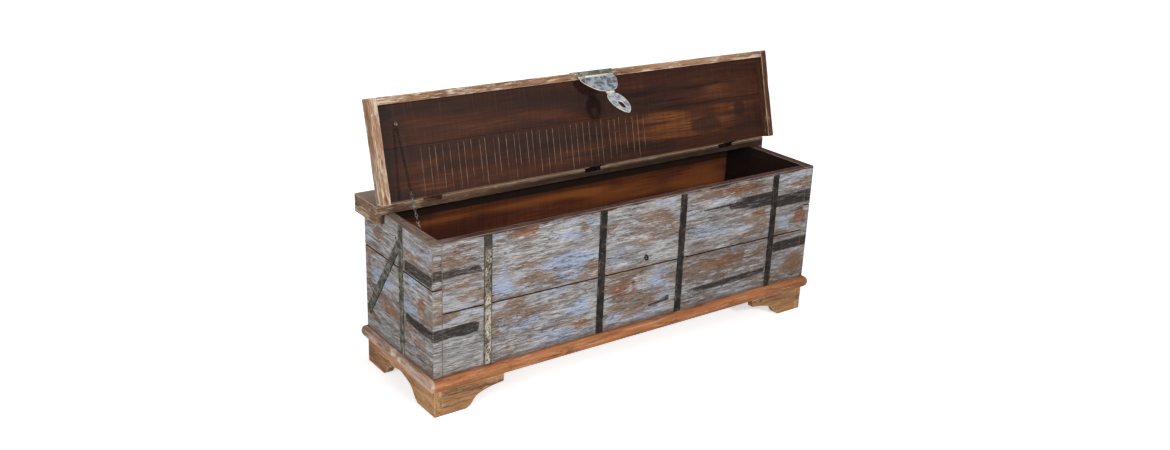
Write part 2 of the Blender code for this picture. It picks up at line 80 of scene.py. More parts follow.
BODY_LOW = Vector((node_box("left_board_lower")[0].x, *node_box("front_board_lower")[0].yz))
BODY_HIGH = Vector((node_box("right_board_upper")[1].x, node_box("back_board_upper")[1].y,
                    node_box("front_board_upper")[1].z))
SIDE_SEAM = (node_box("left_board_lower")[1].z + node_box("left_board_upper")[0].z) / 2
BACK_SEAM = (node_box("back_board_lower")[1].z + node_box("back_board_upper")[0].z) / 2
SEAM_HALF = (node_box("back_board_upper")[0].z - node_box("back_board_lower")[1].z) / 2
SIDE_WALL = node_box("left_board_lower")[1].x - node_box("left_board_lower")[0].x + 0.1 * MM
LID_LOW, LID_HIGH = node_box("lid_board_rear", LID_CLOSE)
HINGE_SPANS = [[corner.x for corner in node_box("hinge_%d_lid_leaf" % n)] for n in (1, 2, 3)]
STAPLE = sum(node_box("hasp_staple"), Vector()) / 2


def top_level(node, sign):
    """Highest level of a CAD node on one side of the middle, and how far out that point is."""
    return max((vert.co.z, abs(vert.co.x)) for vert in NODES[node].data.vertices if vert.co.x * sign > 0)


SEAM_ENDS = (top_level("front_board_lower", -1), top_level("front_board_lower", 1))
FRONT_SLOPE = (SEAM_ENDS[1][0] - SEAM_ENDS[0][0]) / (SEAM_ENDS[0][1] + SEAM_ENDS[1][1])
FRONT_SEAM = (SEAM_ENDS[0][0] + SEAM_ENDS[1][0]) / 2 + SEAM_HALF


def front_seam(x):
    """Level of the front's open joint, which runs a little lower to the right."""
    return FRONT_SEAM + FRONT_SLOPE * x


# Small helpers

def wave(x, y=0.0, z=0.0):
    return noise.noise(Vector((x, y, z)))


def ease(value, low, high):
    """Changes smoothly from 0 at low to 1 at high."""
    t = min(1.0, max(0.0, (value - low) / (high - low)))
    return t * t * (3.0 - 2.0 * t)


def patch(u, v, spot):
    """How strongly a soft oval patch (centre, half sizes, strength) covers a point, in millimetres."""
    cu, cv, ru, rv, strength = spot
    reach = math.hypot((u - cu) / ru, (v - cv) / rv)
    return strength * (1.0 - ease(reach, 0.35, 1.25))


def patches(u, v, spots):
    return sum(patch(u, v, spot) for spot in spots)


# Wear. Each patch: centre along, centre up, half length, half height, strength, in mm.

FRONT_BARE = (
    (-345, 412, 60, 20, 1.0), (-330, 375, 90, 28, 0.45), (-520, 405, 60, 22, 0.35), (-520, 292, 34, 12, 0.5),
    (-250, 310, 80, 36, -0.7), (-420, 290, 30, 50, -0.4), (-350, 212, 40, 12, 0.55),
    (-215, 188, 34, 22, -0.9), (-186, 142, 26, 11, 1.0), (-270, 150, 70, 18, 0.35),
    (-380, 150, 60, 30, -0.1), (-155, 200, 22, 44, -0.5), (-60, 418, 80, 14, -0.6), (50, 380, 60, 34, 0.4),
    (-60, 285, 60, 30, -0.4), (-50, 205, 62, 26, 0.95), (60, 205, 40, 34, -0.3), (20, 135, 90, 26, 0.3),
    (-90, 130, 30, 20, -0.5), (320, 410, 130, 16, 0.8), (190, 392, 50, 22, -0.5), (240, 380, 100, 8, -0.6),
    (250, 310, 110, 34, -0.4), (405, 327, 34, 12, 0.9), (330, 278, 100, 9, 0.6), (290, 212, 140, 24, 0.75),
    (300, 120, 140, 20, -0.2), (540, 398, 60, 18, 0.7), (500, 298, 32, 34, -0.7), (565, 292, 28, 36, 0.95),
    (560, 150, 40, 42, 0.75), (490, 168, 20, 26, -0.5), (-590, 405, 10, 24, -0.6), (-587, 260, 14, 50, 0.25),
)
FRONT_BLUE = (
    (-250, 312, 90, 40, 1.0), (-420, 290, 34, 50, 0.6), (-205, 190, 46, 24, 1.0), (-360, 195, 60, 22, 0.6),
    (-490, 322, 24, 12, 0.9), (-60, 285, 66, 34, 0.6), (64, 208, 40, 34, 0.7), (-90, 130, 40, 22, 0.8),
    (250, 312, 120, 30, 0.55), (280, 238, 130, 8, 0.6), (500, 300, 30, 26, 0.5), (-60, 415, 90, 16, -0.6),
    (190, 395, 60, 20, -0.5), (300, 120, 140, 22, 0.35), (50, 385, 60, 30, -0.3), (-300, 130, 120, 26, 0.2),
)
SIDE_BARE = (
    (-118, 268, 26, 22, 0.9), (40, 190, 60, 26, 0.6), (-100, 165, 46, 16, 0.45), (120, 380, 60, 34, 0.45),
    (-140, 385, 30, 30, -0.4), (80, 260, 60, 40, -0.7), (-158, 300, 14, 40, 0.5), (150, 260, 16, 60, 0.5),
    (20, 400, 40, 24, 0.2), (100, 130, 60, 20, 0.1),
)
SIDE_BLUE = (
    (86, 268, 60, 44, 1.0), (-140, 385, 30, 30, 0.6), (-80, 305, 36, 12, 0.6), (-20, 140, 60, 24, 0.3),
    (-60, 240, 20, 40, 0.5), (60, 160, 60, 20, 0.4),
)
BACK_BARE = (
    (-300, 330, 140, 40, 0.6), (120, 200, 160, 34, 0.5), (420, 360, 100, 30, 0.5), (-80, 390, 120, 20, -0.4),
)
BACK_BLUE = ((-100, 320, 160, 44, 0.7), (320, 180, 140, 40, 0.6), (-430, 180, 100, 40, 0.4))
LID_TOP_BARE = (
    (-260, -20, 180, 46, 0.6), (200, -120, 160, 30, 0.5), (430, 10, 110, 30, 0.4), (0, -60, 120, 30, -0.5),
)
LID_TOP_BLUE = ((60, -90, 180, 50, 0.8), (-420, -100, 120, 40, 0.6), (330, 20, 120, 30, 0.6))
LID_WARM = (
    (330, 60, 210, 34, 0.6), (240, 102, 110, 14, 0.8), (480, 104, 80, 14, 0.6), (-60, 40, 160, 22, 0.3),
    (-330, 150, 140, 16, 0.45), (-120, 165, 120, 14, 0.3), (430, 160, 60, 16, 0.35),
    (-480, 20, 60, 14, 0.35),
)
LID_DEEP = (
    (390, 62, 70, 26, 0.9), (520, 92, 26, 30, 0.8), (-420, 70, 60, 26, 0.5), (-270, 92, 60, 16, 0.6),
    (-100, 190, 180, 40, 0.5), (180, 134, 200, 9, 0.6), (-250, 134, 200, 9, 0.5), (-60, 60, 60, 18, 0.4),
    (30, 150, 90, 24, 0.5), (250, 30, 40, 14, 0.3), (-540, 120, 40, 90, 0.3),
)
WALL_WARM = (
    (-420, 352, 140, 14, 0.6), (-100, 352, 200, 16, 0.8), (200, 330, 200, 34, 0.5), (470, 320, 130, 60, 0.6),
    (60, 350, 80, 12, 0.6),
)

# Dark brushed bands: from, to along the board, lower and upper edge, and how solid, in mm.
FRONT_BANDS = (
    (-606, -473, 338, 367, 0.9), (-606, -480, 192, 222, 6), (460, 606, 331, 366, 6), (468, 606, 198, 228, 6),
)
SIDE_BANDS = ((-186, -38, 324, 352, 1.4), (-186, -38, 192, 222, 2.2))


def band_distance(u, v, band):
    """Distance inside a band, in millimetres; negative outside it."""
    start, end, low, high, solid = band
    rough = 2.5 * wave(u * 0.03, v * 0.1, low)
    return min(u - start, 0.6 * (end - u) + rough, v - low + rough, high - v + rough, solid)


def tongue_distance(u, v, tip, base, centre_tip, centre_base, half):
    """Distance inside a streak that tapers from its base to a tip."""
    share = (u - tip) / (base - tip)
    if share <= 0.0:
        return -abs(u - tip) - 1.0
    centre = centre_tip + (centre_base - centre_tip) * share
    width = half * min(1.0, share ** 0.4 * 1.25)
    return width - abs(v - centre)


def front_band(u, v):
    """Solid bands at the corners, streaks between the straps, and a dark disc round the staple, painted shade
    that makes its opening read as a dark hole.
    """
    painted_staple_shade = 7.5 - math.hypot(u - STAPLE.x / MM, v - STAPLE.z / MM)
    found = [band_distance(u, v, band) for band in FRONT_BANDS] + [min(painted_staple_shade, 2.0)]
    if u < 460:
        found.append(min(1.9, tongue_distance(u, v, 200, 450, 369, 376, 9)))
        found.append(min(1.6, tongue_distance(u, v, 290, 450, 357, 350, 9.5)))
    elif u < 500:
        found.append(tongue_distance(u, v, 470, 500, 213, 213, 14))
    found.append(min(1.8, tongue_distance(u, v, 130, 450, 147, 154, 11)) if u < 446 else PAST_STREAKS)
    found.append(min(1.6, tongue_distance(u, v, 20, 104, 136, 147, 10)) if u < 100 else PAST_STREAKS)
    return max(found)


def wall_marks(p):
    """Bare wood, blue paint and dark bands of a wall, by which face a point is nearest; on the front the
    bands also carry the painted shade round the staple.
    """
    x, y, z = (c / MM for c in p)
    if p.y < BODY_LOW.y + SKIN:
        return patches(x, z, FRONT_BARE), patches(x, z, FRONT_BLUE), front_band(x, z)
    if p.x < BODY_LOW.x + SKIN or p.x > BODY_HIGH.x - SKIN:
        inside = max(band_distance(y, z, band) for band in SIDE_BANDS)
        return patches(y, z, SIDE_BARE), patches(y, z, SIDE_BLUE), inside
    if p.y >= BODY_HIGH.y - SKIN:
        return patches(x, z, BACK_BARE), patches(x, z, BACK_BLUE), NO_BAND
    return patches(x, z, WALL_WARM), 0.0, NO_BAND


def lid_marks(p):
    """Marks of the lid's painted outer face, and of its inner face by the distance from the hinges."""
    x, y, _ = (c / MM for c in p)
    if p.z > LID_HIGH.z - SKIN:
        return patches(x, y, LID_TOP_BARE), patches(x, y, LID_TOP_BLUE), NO_BAND
    reach = (LID_HIGH.y - p.y) / MM
    return patches(x, reach, LID_WARM), patches(x, reach, LID_DEEP), NO_BAND


def nearest_seam(p):
    """Level of the open joint of the wall that a point belongs to."""
    if BODY_HIGH.x - SIDE_WALL < abs(p.x) < BODY_HIGH.x + MM:
        return SIDE_SEAM
    return front_seam(p.x) if p.y < 0 else BACK_SEAM


def rail_marks(p):
    """Painted shade low on the front of the rail, deeper towards the right, and painted shadow on the inner
    half of the end blocks' fronts.
    """
    low, high = node_box("rail_board")
    if p.y > low.y + SKIN:
        return no_marks(p)
    depth = ease(high.z - p.z, 4 * MM, 9 * MM) * (0.35 + 0.65 * ease(p.x, -0.5, -0.1))
    # The end blocks' fronts get painted shadow on their inner half, next to the body's side
    if p.z < BODY_HIGH.z - MM:
        depth = ease(abs(p.x), BODY_HIGH.x + 14 * MM, BODY_HIGH.x + 8 * MM)
    return depth, 0.0, NO_BAND


def no_marks(p):
    return 0.0, 0.0, NO_BAND


# Meshes

class Shape:
    """Collects points with their wear, then makes one mesh object of them."""

    def __init__(self):
        self.points = []
        self.edges = []
        self.faces = []

    def ring(self, points, edges):
        first = len(self.points)
        self.points += [Vector(p) for p in points]
        self.edges += edges
        return list(range(first, first + len(points)))

    def bridge(self, a, b):
        for i in range(len(a)):
            j = (i + 1) % len(a)
            self.faces.append((a[i], a[j], b[j], b[i]))

    def loft(self, rows):
        for a, b in zip(rows, rows[1:]):
            self.bridge(a, b)

    def cap(self, rows):
        self.faces += [tuple(rows[0]), tuple(rows[-1])]

    def finish(self, name, mat, axis=0, seed=0.0, marks=no_marks, turned=UPRIGHT, sharp=42.0):
        mesh = bpy.data.meshes.new(name)
        mesh.from_pydata([tuple(turned @ p) for p in self.points], [], self.faces)
        bm = bmesh.new()
        bm.from_mesh(mesh)
        bmesh.ops.recalc_face_normals(bm, faces=bm.faces)
        if bm.calc_volume(signed=True) < 0.0:
            bmesh.ops.reverse_faces(bm, faces=bm.faces)
        bm.to_mesh(mesh)
        bm.free()
        add_attributes(mesh, self.points, self.edges, axis, seed, marks)
        return dressed(name, mesh, mat, sharp)


def link(name, data):
    obj = bpy.data.objects.new(name, data)
    bpy.context.scene.collection.objects.link(obj)
    return obj


def dressed(name, mesh, mat, sharp):
    """An object of a mesh, shaded smooth but for its sharp edges."""
    mesh.shade_smooth()
    mesh.set_sharp_from_angle(angle=math.radians(sharp))
    mesh.materials.append(mat)
    return link(name, mesh)


def add_attributes(mesh, points, edges, axis, seed, marks):
    """Stores what the materials read: place, grain direction, edge wear and the marks."""
    order = {0: (0, 1, 2), 1: (1, 0, 2), 2: (2, 0, 1)}[axis]
    shift = Vector((seed * 0.731, seed * 0.413, seed * 0.297))
    found = [marks(p) for p in points]
    vectors = {"place": points, "grain": [Vector([p[k] for k in order]) + shift for p in points]}
    for name, values in vectors.items():
        layer = mesh.attributes.new(name, "FLOAT_VECTOR", "POINT")
        layer.data.foreach_set("vector", [c for value in values for c in value])
    # On the rail the bare values are painted shade, not bare wood
    numbers = {"seam": [nearest_seam(p) for p in points], "wear": edges, "bare": [m[0] for m in found],
               "blue": [m[1] for m in found], "band": [m[2] for m in found]}
    for name, values in numbers.items():
        layer = mesh.attributes.new(name, "FLOAT", "POINT")
        layer.data.foreach_set("value", values)


def side_points(start, end, count):
    """Places between two corners: one near each corner, and more between them."""
    length = end - start
    sign = 1.0 if length > 0 else -1.0
    margin = min(MARGIN, abs(length) * 0.3)
    inner = abs(length) - 2 * margin
    return [start + sign * (margin + inner * i / count) for i in range(count + 1)]


def side_count(length, step):
    return max(1, round((length - 2 * min(MARGIN, length * 0.3)) / step))


def section(a0, a1, b0, b1, radii, counts, levels=()):
    """A rectangle with a round at each corner: points and their wear."""
    corners = ((a0, b0, 180), (a1, b0, 270), (a1, b1, 0), (a0, b1, 90))
    points = []
    edges = []
    for k, (a, b, angle) in enumerate(corners):
        r = radii[k]
        ca = a + (r if a == a0 else -r)
        cb = b + (r if b == b0 else -r)
        for i in range(ARC_POINTS):
            turn = math.radians(angle + 90.0 * i / (ARC_POINTS - 1))
            points.append((ca + r * math.cos(turn), cb + r * math.sin(turn)))
            edges.append(1.0)
        na, nb, _ = corners[(k + 1) % 4]
        if k % 2 == 0:
            spots = [(u, b) for u in side_points(a, na, counts[0])]
        else:
            row = sorted(side_points(b, nb, counts[1]) + list(levels), reverse=nb < b)
            spots = [(a, v) for v in row]
        points += spots
        edges += [0.0] * len(spots)
    return points, edges


def stations(low, high, radius, extra=(), step=STEP):
    """Places along a beam with how far its outline draws in there: round ends, then even steps."""
    ends = ((0.0, MARGIN), (0.0, radius), (0.3 * radius, 0.3 * radius), (radius, 0.0), (MARGIN, 0.0))
    count = max(2, round((high - low - 2 * MARGIN) / step))
    inner = [low + MARGIN + (high - low - 2 * MARGIN) * i / count for i in range(1, count)]
    inner = sorted(set(inner) | set(extra))
    row = [(low + t, inset) for t, inset in ends]
    row += [(t, 0.0) for t in inner]
    row += [(high - t, inset) for t, inset in reversed(ends)]
    return row


def beam(name, low, high, axis, mat, seed, radius=1.2 * MM, chip=2.2 * MM, bump=0.35 * MM,
         marks=no_marks, turned=UPRIGHT, extra=(), carve=None, wobble=0.0, step=STEP, across=12 * MM,
         knocked=(1.0, 1.0, 1.0, 1.0), levels=()):
    """A weathered board: a box with round, chipped arrises and a slightly uneven skin."""
    others = [i for i in range(3) if i != axis]
    shape = Shape()
    rows = []
    a0, a1 = low[others[0]], high[others[0]]
    b0, b1 = low[others[1]], high[others[1]]
    thin = min(a1 - a0, b1 - b0)
    counts = (side_count(a1 - a0, across), side_count(b1 - b0, across))
    for at, inset in stations(low[axis], high[axis], radius, extra, step):
        inset = min(inset, thin * 0.4)
        radii = [corner_radius(at, k, seed, radius * knock, chip * knock, inset, thin)
                 for k, knock in enumerate(knocked)]
        shift = wobble * wave(at * 60, seed)
        points, edges = section(a0 + inset, a1 - inset, b0 + inset, b1 - inset, radii, counts, levels)
        ring = []
        for a, b in points:
            p = Vector((0.0, 0.0, 0.0))
            p[axis] = at
            p[others[0]] = a + shift
            p[others[1]] = b
            ring.append(sink(p, low, high, axis, seed, bump) if inset == 0.0 else p)
        if inset > radius * 1.01:
            edges = [0.0] * len(edges)
        elif inset > 0.0 or at in (low[axis] + radius, high[axis] - radius):
            edges = [1.0] * len(edges)
        if carve:
            ring = [carve(p) for p in ring]
        rows.append(shape.ring(ring, edges))
    shape.loft(rows)
    for row in (rows[0], rows[-1]):
        close_end(shape, row, counts[0] + 1, counts[1] + 1 + len(levels))
    return shape.finish(name, mat, axis, seed, marks, turned)


def close_end(shape, row, flat, tall):
    """Closes an end with faces between its two tall sides, so that the marks show on it too."""
    rise = 2 * ARC_POINTS + flat
    fall = rise + tall + 2 * ARC_POINTS + flat
    up = row[rise:rise + tall]
    down = row[fall:fall + tall][::-1]
    for i in range(tall - 1):
        shape.faces.append((down[i], up[i], up[i + 1], down[i + 1]))
    shape.faces.append(tuple(row[fall + tall - 1:] + row[:rise + 1]))
    shape.faces.append(tuple(row[rise + tall - 1:fall + 1]))


def corner_radius(at, corner, seed, radius, chip, inset, thin):
    base = radius * (0.75 + 0.5 * abs(wave(at * 35, corner * 7.7, seed)))
    dent = chip * ease(wave(at * 16, corner * 5.1 + 40, seed * 1.7), 0.28, 0.62)
    dent += 0.35 * chip * ease(wave(at * 60, corner * 3.3 + 80, seed), 0.3, 0.7)
    return max(0.1 * MM, min(base + dent, thin * 0.45) - inset)


def sink(p, low, high, axis, seed, bump):
    """Draws a point of a flat side in a little, so that the board isn't perfectly flat."""
    depth = bump * (0.5 + 0.5 * wave(p.x * 14 + seed, p.y * 14, p.z * 14 + seed * 2))
    q = p.copy()
    for i in range(3):
        if i == axis:
            continue
        if abs(p[i] - low[i]) < 0.01 * MM:
            q[i] += depth
        elif abs(p[i] - high[i]) < 0.01 * MM:
            q[i] -= depth
    return q


def board(node, axis, mat, seed, slot, body="chest", turned=UPRIGHT, grow=(0.0, 0.0, 0.0), **options):
    """Puts a weathered board in the place of a box-shaped CAD node; grow closes a joint on its low side."""
    low, high = node_box(node, turned.inverted())
    low -= Vector(grow)
    obj = beam(node + "_look", low, high, axis, mat, seed, turned=turned, **options)
    stand_for(obj, body, node)


def stand_for(obj, body, node):
    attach(obj, body)
    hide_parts(node)


def halve(bm):
    """Cuts the faces along the middle of x, so that a face with a slot in it becomes two without a hole."""
    reach = [vert.co.x for vert in bm.verts]
    middle = (min(reach) + max(reach)) / 2
    cut = bmesh.ops.bisect_plane(bm, geom=bm.verts[:] + bm.edges[:] + bm.faces[:], plane_co=(middle, 0, 0),
                                 plane_no=(1, 0, 0))
    for item in cut["geom_cut"]:
        if isinstance(item, bmesh.types.BMEdge):
            item.seam = True


def softened(node, mat, width, rim, axis, seed, body="chest", segments=2, relief=0.0,
             slotted=False):
    """A CAD node's own shape with worn arrises; relief sinks the middle of its broad faces."""
    bm = bmesh.new()
    bm.from_mesh(NODES[node].data)
    bmesh.ops.remove_doubles(bm, verts=bm.verts, dist=0.00001)
    if slotted:
        halve(bm)
    bmesh.ops.dissolve_limit(bm, angle_limit=math.radians(1.0), verts=bm.verts, edges=bm.edges,
                             delimit={"SEAM"})
    sharp = [edge for edge in bm.edges if edge.is_manifold and edge.calc_face_angle(0.0) > math.radians(28)]
    bmesh.ops.bevel(bm, geom=sharp, offset=width, segments=segments, profile=0.5, affect="EDGES",
                    clamp_overlap=True)
    layer = bm.verts.layers.float.new("edge")
    for vert in bm.verts:
        vert[layer] = 1.0
    if rim > 0.0:
        large = [face for face in bm.faces if face.calc_area() > (4 * rim) ** 2]
        inset = bmesh.ops.inset_region if slotted else bmesh.ops.inset_individual
        inset(bm, faces=large, thickness=rim, depth=-relief, use_even_offset=False)
        for face in large:
            for vert in face.verts:
                vert[layer] = 0.0
    bmesh.ops.triangulate(bm, faces=[face for face in bm.faces if len(face.verts) > 4])
    name = node + "_look"
    mesh = bpy.data.meshes.new(name)
    bm.to_mesh(mesh)
    edges = [vert[layer] for vert in bm.verts]
    points = [vert.co.copy() for vert in bm.verts]
    bm.free()
    add_attributes(mesh, points, edges, axis, seed, no_marks)
    stand_for(dressed(name, mesh, mat, 38.0), body, node)


# Materials

def linear_colour(picked):
    """Linear colour of a colour given on a 0 to 255 scale."""
    shares = [c / 255.0 for c in picked]
    return (*(c / 12.92 if c <= 0.04045 else ((c + 0.055) / 1.055) ** 2.4 for c in shares), 1.0)


class Value:
    """A node's output, with the arithmetic of plain numbers."""

    def __init__(self, graph, socket):
        self.graph = graph
        self.socket = socket

    def __add__(self, other):
        return self.graph.math("ADD", self, other)

    def __sub__(self, other):
        return self.graph.math("SUBTRACT", self, other)

    def __rsub__(self, other):
        return self.graph.math("SUBTRACT", other, self)

    def __mul__(self, other):
        return self.graph.math("MULTIPLY", self, other)

    def __abs__(self):
        return self.graph.math("ABSOLUTE", self)


class Graph:
    """One node material, with short calls for the nodes used here."""

    def __init__(self, name):
        self.mat = bpy.data.materials.new(name)
        self.mat.use_nodes = True
        self.tree = self.mat.node_tree
        self.shader = self.tree.nodes["Principled BSDF"]
        self.grain = self.attribute("grain", "Vector")
        self.place = self.attribute("place", "Vector")
        self.wear = self.attribute("wear")

    def value(self, socket):
        return Value(self, socket)

    def feed(self, socket, value):
        """Links an output or sets a number or colour; a colour of three numbers is one given on a 0 to 255
        scale.
        """
        value = getattr(value, "socket", value)
        if isinstance(value, bpy.types.NodeSocket):
            self.tree.links.new(value, socket)
        elif isinstance(value, tuple) and len(value) == 3:
            socket.default_value = linear_colour(value)
        else:
            socket.default_value = value

    def make(self, kind, *values):
        """A new node with its first inputs fed."""
        node = self.tree.nodes.new("ShaderNode" + kind)
        for socket, value in zip(node.inputs, values):
            self.feed(socket, value)
        return node

    def attribute(self, name, output="Fac"):
        node = self.make("Attribute")
        node.attribute_name = name
        return self.value(node.outputs[output])

    def math(self, operation, *values):
        node = self.make("Math", *values)
        node.operation = operation
        return self.value(node.outputs[0])

    def smooth(self, value, low, high, start=0.0, end=1.0):
        node = self.make("MapRange", value, low, high, start, end)
        node.interpolation_type = "SMOOTHSTEP"
        return self.value(node.outputs[0])

    def mix(self, factor, a, b):
        node = self.make("Mix", factor)
        node.data_type = "RGBA"
        self.feed(node.inputs[6], a)
        self.feed(node.inputs[7], b)
        return self.value(node.outputs[2])

    def coat(self, factor, color):
        """Lays a colour over the one there is."""
        self.color = self.mix(factor, self.color, color)

    def noise_of(self, vector, scale, detail, rough, warp, shift):
        spots = self.make("Mapping", vector)
        spots.inputs["Location"].default_value = (shift, shift * 0.7, shift * 1.3)
        spots.inputs["Scale"].default_value = scale
        node = self.make("TexNoise", self.value(spots.outputs[0]))
        settings = {"Scale": 1.0, "Detail": detail, "Roughness": rough, "Distortion": warp}
        for name, value in settings.items():
            node.inputs[name].default_value = value
        return self.value(node.outputs[0])

    def noise(self, along, across, detail=4.0, rough=0.6, warp=0.0, shift=0.0):
        """Noise drawn out along the grain, by waves to the metre along and across it."""
        return self.noise_of(self.grain, (along, across, across), detail, rough, warp, shift)

    def spots(self, wide, tall, detail, rough, warp, shift):
        """Noise by place, by waves to the metre sideways and upwards."""
        return self.noise_of(self.place, (wide, wide, tall), detail, rough, warp, shift)

    def split(self, vector):
        return [self.value(socket) for socket in self.make("SeparateXYZ", vector).outputs]

    def joined(self, *values):
        return self.value(self.make("CombineXYZ", *values).outputs[0])

    def bump(self, height, distance, strength):
        node = self.make("Bump")
        self.feed(node.inputs["Height"], height)
        node.inputs["Distance"].default_value = distance
        node.inputs["Strength"].default_value = strength
        return self.value(node.outputs[0])

    def finish(self, roughness, normal=None, metallic=0.0):
        self.feed(self.shader.inputs["Base Color"], self.color)
        self.feed(self.shader.inputs["Roughness"], roughness)
        self.feed(self.shader.inputs["Metallic"], metallic)
        self.shader.inputs["Specular IOR Level"].default_value = 0.22 if metallic == 0.0 else 0.5
        if normal is not None:
            self.feed(self.shader.inputs["Normal"], normal)
        return self.mat


def wood_colour(g, dark, mid, light, shift=0.0):
    """Streaked wood and the height of its grain."""
    broad = g.noise(2.2, 26, 3.0, 0.6, 0.4, shift)
    fine = g.noise(9, 260, 5.0, 0.7, 0.2, shift + 3)
    pores = g.noise(30, 900, 2.0, 0.6, 0.0, shift + 5)
    tone = broad * 0.55 + fine * 0.45
    color = g.mix(g.smooth(tone, 0.36, 0.52), dark, mid)
    color = g.mix(g.smooth(tone, 0.50, 0.66), color, light)
    color = g.mix(g.smooth(pores, 0.60, 0.72, 0.0, 0.35), color, dark)
    height = fine * 0.7 + pores * 0.3
    return color, height, broad, fine


def cracks(g, wide, narrow, threshold, shift, sparse=0.5):
    """Thin dark lines along the grain."""
    field = g.noise(wide, narrow, 2.0, 0.5, 0.3, shift)
    near = abs(field - 0.5)
    line = g.smooth(near, 0.0, threshold, 1.0, 0.0)
    where = g.smooth(g.noise(5, 20, 2.0, 0.5, 0.0, shift + 9), sparse, sparse + 0.12)
    return line * where


def seam_shade(g, z):
    """Dark inside the open joints between the boards; each wall's own seam is told by its seam attribute."""
    off = abs(z - g.attribute("seam"))
    return g.smooth(off, SEAM_HALF + 0.2 * MM, SEAM_HALF + 0.9 * MM, 1.0, 0.0)


def face_grain(g, across):
    """Grain that runs level on every outer face, with a shift for each wall and board."""
    x, y, z = g.split(g.place)
    upper = g.math("GREATER_THAN", z, g.attribute("seam"))
    level = z + upper * 1.7
    front = g.joined(x + upper * 3.1, y, level)
    side = g.joined(y + upper * 2.3 + 5.0, x, level)
    return g.mix(across, front, side)


def body_material():
    """Worn white and blue paint over brown wood outside, orange-brown wood inside."""
    g = Graph("worn_paint")
    bare = g.attribute("bare")
    blue = g.attribute("blue")
    band = g.attribute("band")
    x, y, z = g.split(g.place)
    nx, ny, _ = g.split(g.make("NewGeometry").outputs["Normal"])
    across = g.math("GREATER_THAN", abs(nx), abs(ny))
    board_grain = g.grain
    g.grain = face_grain(g, across)
    wood, height, broad, fine = wood_colour(g, (78, 54, 42), (126, 92, 70), (160, 124, 98))

    # Outside faces carry paint, up to just below the rim
    out_x = g.smooth(abs(x), BODY_HIGH.x - 4 * MM, BODY_HIGH.x - 3 * MM)
    out_y = g.smooth(abs(y), BODY_HIGH.y - 3 * MM, BODY_HIGH.y - 2 * MM)
    outside = g.math("MAXIMUM", out_x, out_y)
    ragged = z + g.noise(22, 60, 4.0, 0.65) * (16 * MM)
    below = g.smooth(ragged, BODY_HIGH.z + 2 * MM, BODY_HIGH.z + 4 * MM, 1.0, 0.0)

    # How much paint is left, from broad patches down to single flakes
    large = g.noise(6, 17, 4.0, 0.65, 0.8, 11)
    streak = g.noise(15, 130, 5.0, 0.75, 0.5, 17)
    hair = g.noise(70, 620, 3.0, 0.7, 0.3, 23)
    field = large * 0.56 + streak * 0.26 + hair * 0.18
    left = field + bare * -0.1 + g.wear * -0.008 + 0.014
    cover = g.smooth(left, 0.465, 0.52)

    # Paint colour
    cloud = g.noise(7, 16, 4.0, 0.65, 0.6, 37)
    tint = g.smooth(cloud + blue * 0.18 + streak * 0.2, 0.6, 0.8)
    grey = g.mix(g.smooth(streak, 0.40, 0.60), (118, 116, 116), (164, 163, 165))
    cream = g.mix(g.smooth(cloud, 0.46, 0.66, 0.0, 0.7), grey, (182, 174, 160))
    paint = g.mix(tint * 0.9, cream, (146, 162, 190))
    bright = g.smooth(streak + hair * 0.9, 1.02, 1.22, 0.0, 0.75)
    paint = g.mix(bright, paint, (214, 213, 210))
    dirty = g.smooth(g.noise(10, 60, 5.0, 0.75, 0.6, 43), 0.49, 0.66, 0.0, 0.55)
    paint = g.mix(dirty, paint, (116, 102, 92))
    rich = g.smooth(bare + large * 0.8, 0.62, 1.12)
    wood = g.mix(rich * 0.55, wood, g.mix(fine, (98, 60, 42), (158, 106, 76)))
    wood = g.mix(rich, g.mix(0.6, wood, (128, 117, 108)), wood)
    g.color = g.mix(cover, wood, paint)
    scratch = g.noise(30, 420, 4.0, 0.75, 0.9, 29)
    where = g.smooth(g.noise(8, 22, 3.0, 0.6, 0.5, 31), 0.4, 0.6, 0.35, 1.0)
    dash = g.smooth(scratch, 0.54, 0.61, 0.0, 0.9) * where
    g.coat(dash, (62, 54, 50))
    lines = g.math("MAXIMUM", cracks(g, 16, 130, 0.020, 53, 0.44), cracks(g, 30, 240, 0.026, 57, 0.46))
    g.coat(lines * 0.75, (46, 39, 36))
    fleck = g.smooth(scratch, 0.42, 0.36, 0.0, 0.55)
    g.coat(fleck, (206, 202, 198))

    grime = g.smooth(x, -0.1, 0.35) * g.smooth(z, 240 * MM, 330 * MM, 0.5, 0.08)
    grime = grime * g.smooth(large + streak, 0.8, 1.2, 1.0, 0.3)
    g.coat(grime, (88, 74, 64))

    # Dark brushed bands, and the painted shade round the staple that comes with the same band marks
    frayed = band + (streak - 0.5) * 9.0 + (hair - 0.5) * 5.0
    inside_band = g.smooth(frayed, -0.3, 0.7)
    broken = g.smooth(streak * 0.6 + hair * 0.4, 0.48, 0.66, 0.98, 0.62)
    dark = g.mix(g.smooth(hair, 0.4, 0.6), (25, 20, 18), (54, 47, 42))
    g.coat(inside_band * broken, dark)

    # Cracks, and grime along the arrises
    crack = cracks(g, 6, 90, 0.010, 51)
    g.coat(crack * 0.8, (46, 34, 28))
    rub = g.smooth(g.wear + streak * 0.8, 1.2, 1.55, 0.0, 0.6)
    g.coat(rub, g.mix(fine, (84, 62, 50), (168, 146, 124)))
    g.coat(seam_shade(g, z), (22, 17, 15))
    rim = g.mix(g.smooth(fine, 0.4, 0.6), (52, 36, 34), (100, 76, 68))
    rim = g.mix(g.smooth(g.wear + streak, 1.35, 1.6, 0.0, 0.7), rim, (164, 136, 120))
    left_rim = g.smooth(x, BODY_LOW.x + 20 * MM, BODY_LOW.x + 120 * MM, 0.6, 0.0)
    rim = g.mix(left_rim, rim, g.mix(g.smooth(fine, 0.4, 0.6), (96, 80, 70), (152, 136, 122)))
    bottom = g.smooth(z, BODY_LOW.z + 4 * MM, BODY_LOW.z + 20 * MM, 0.5, 0.0)
    g.coat(bottom, (80, 62, 52))
    g.color = g.mix(below, rim, g.color)

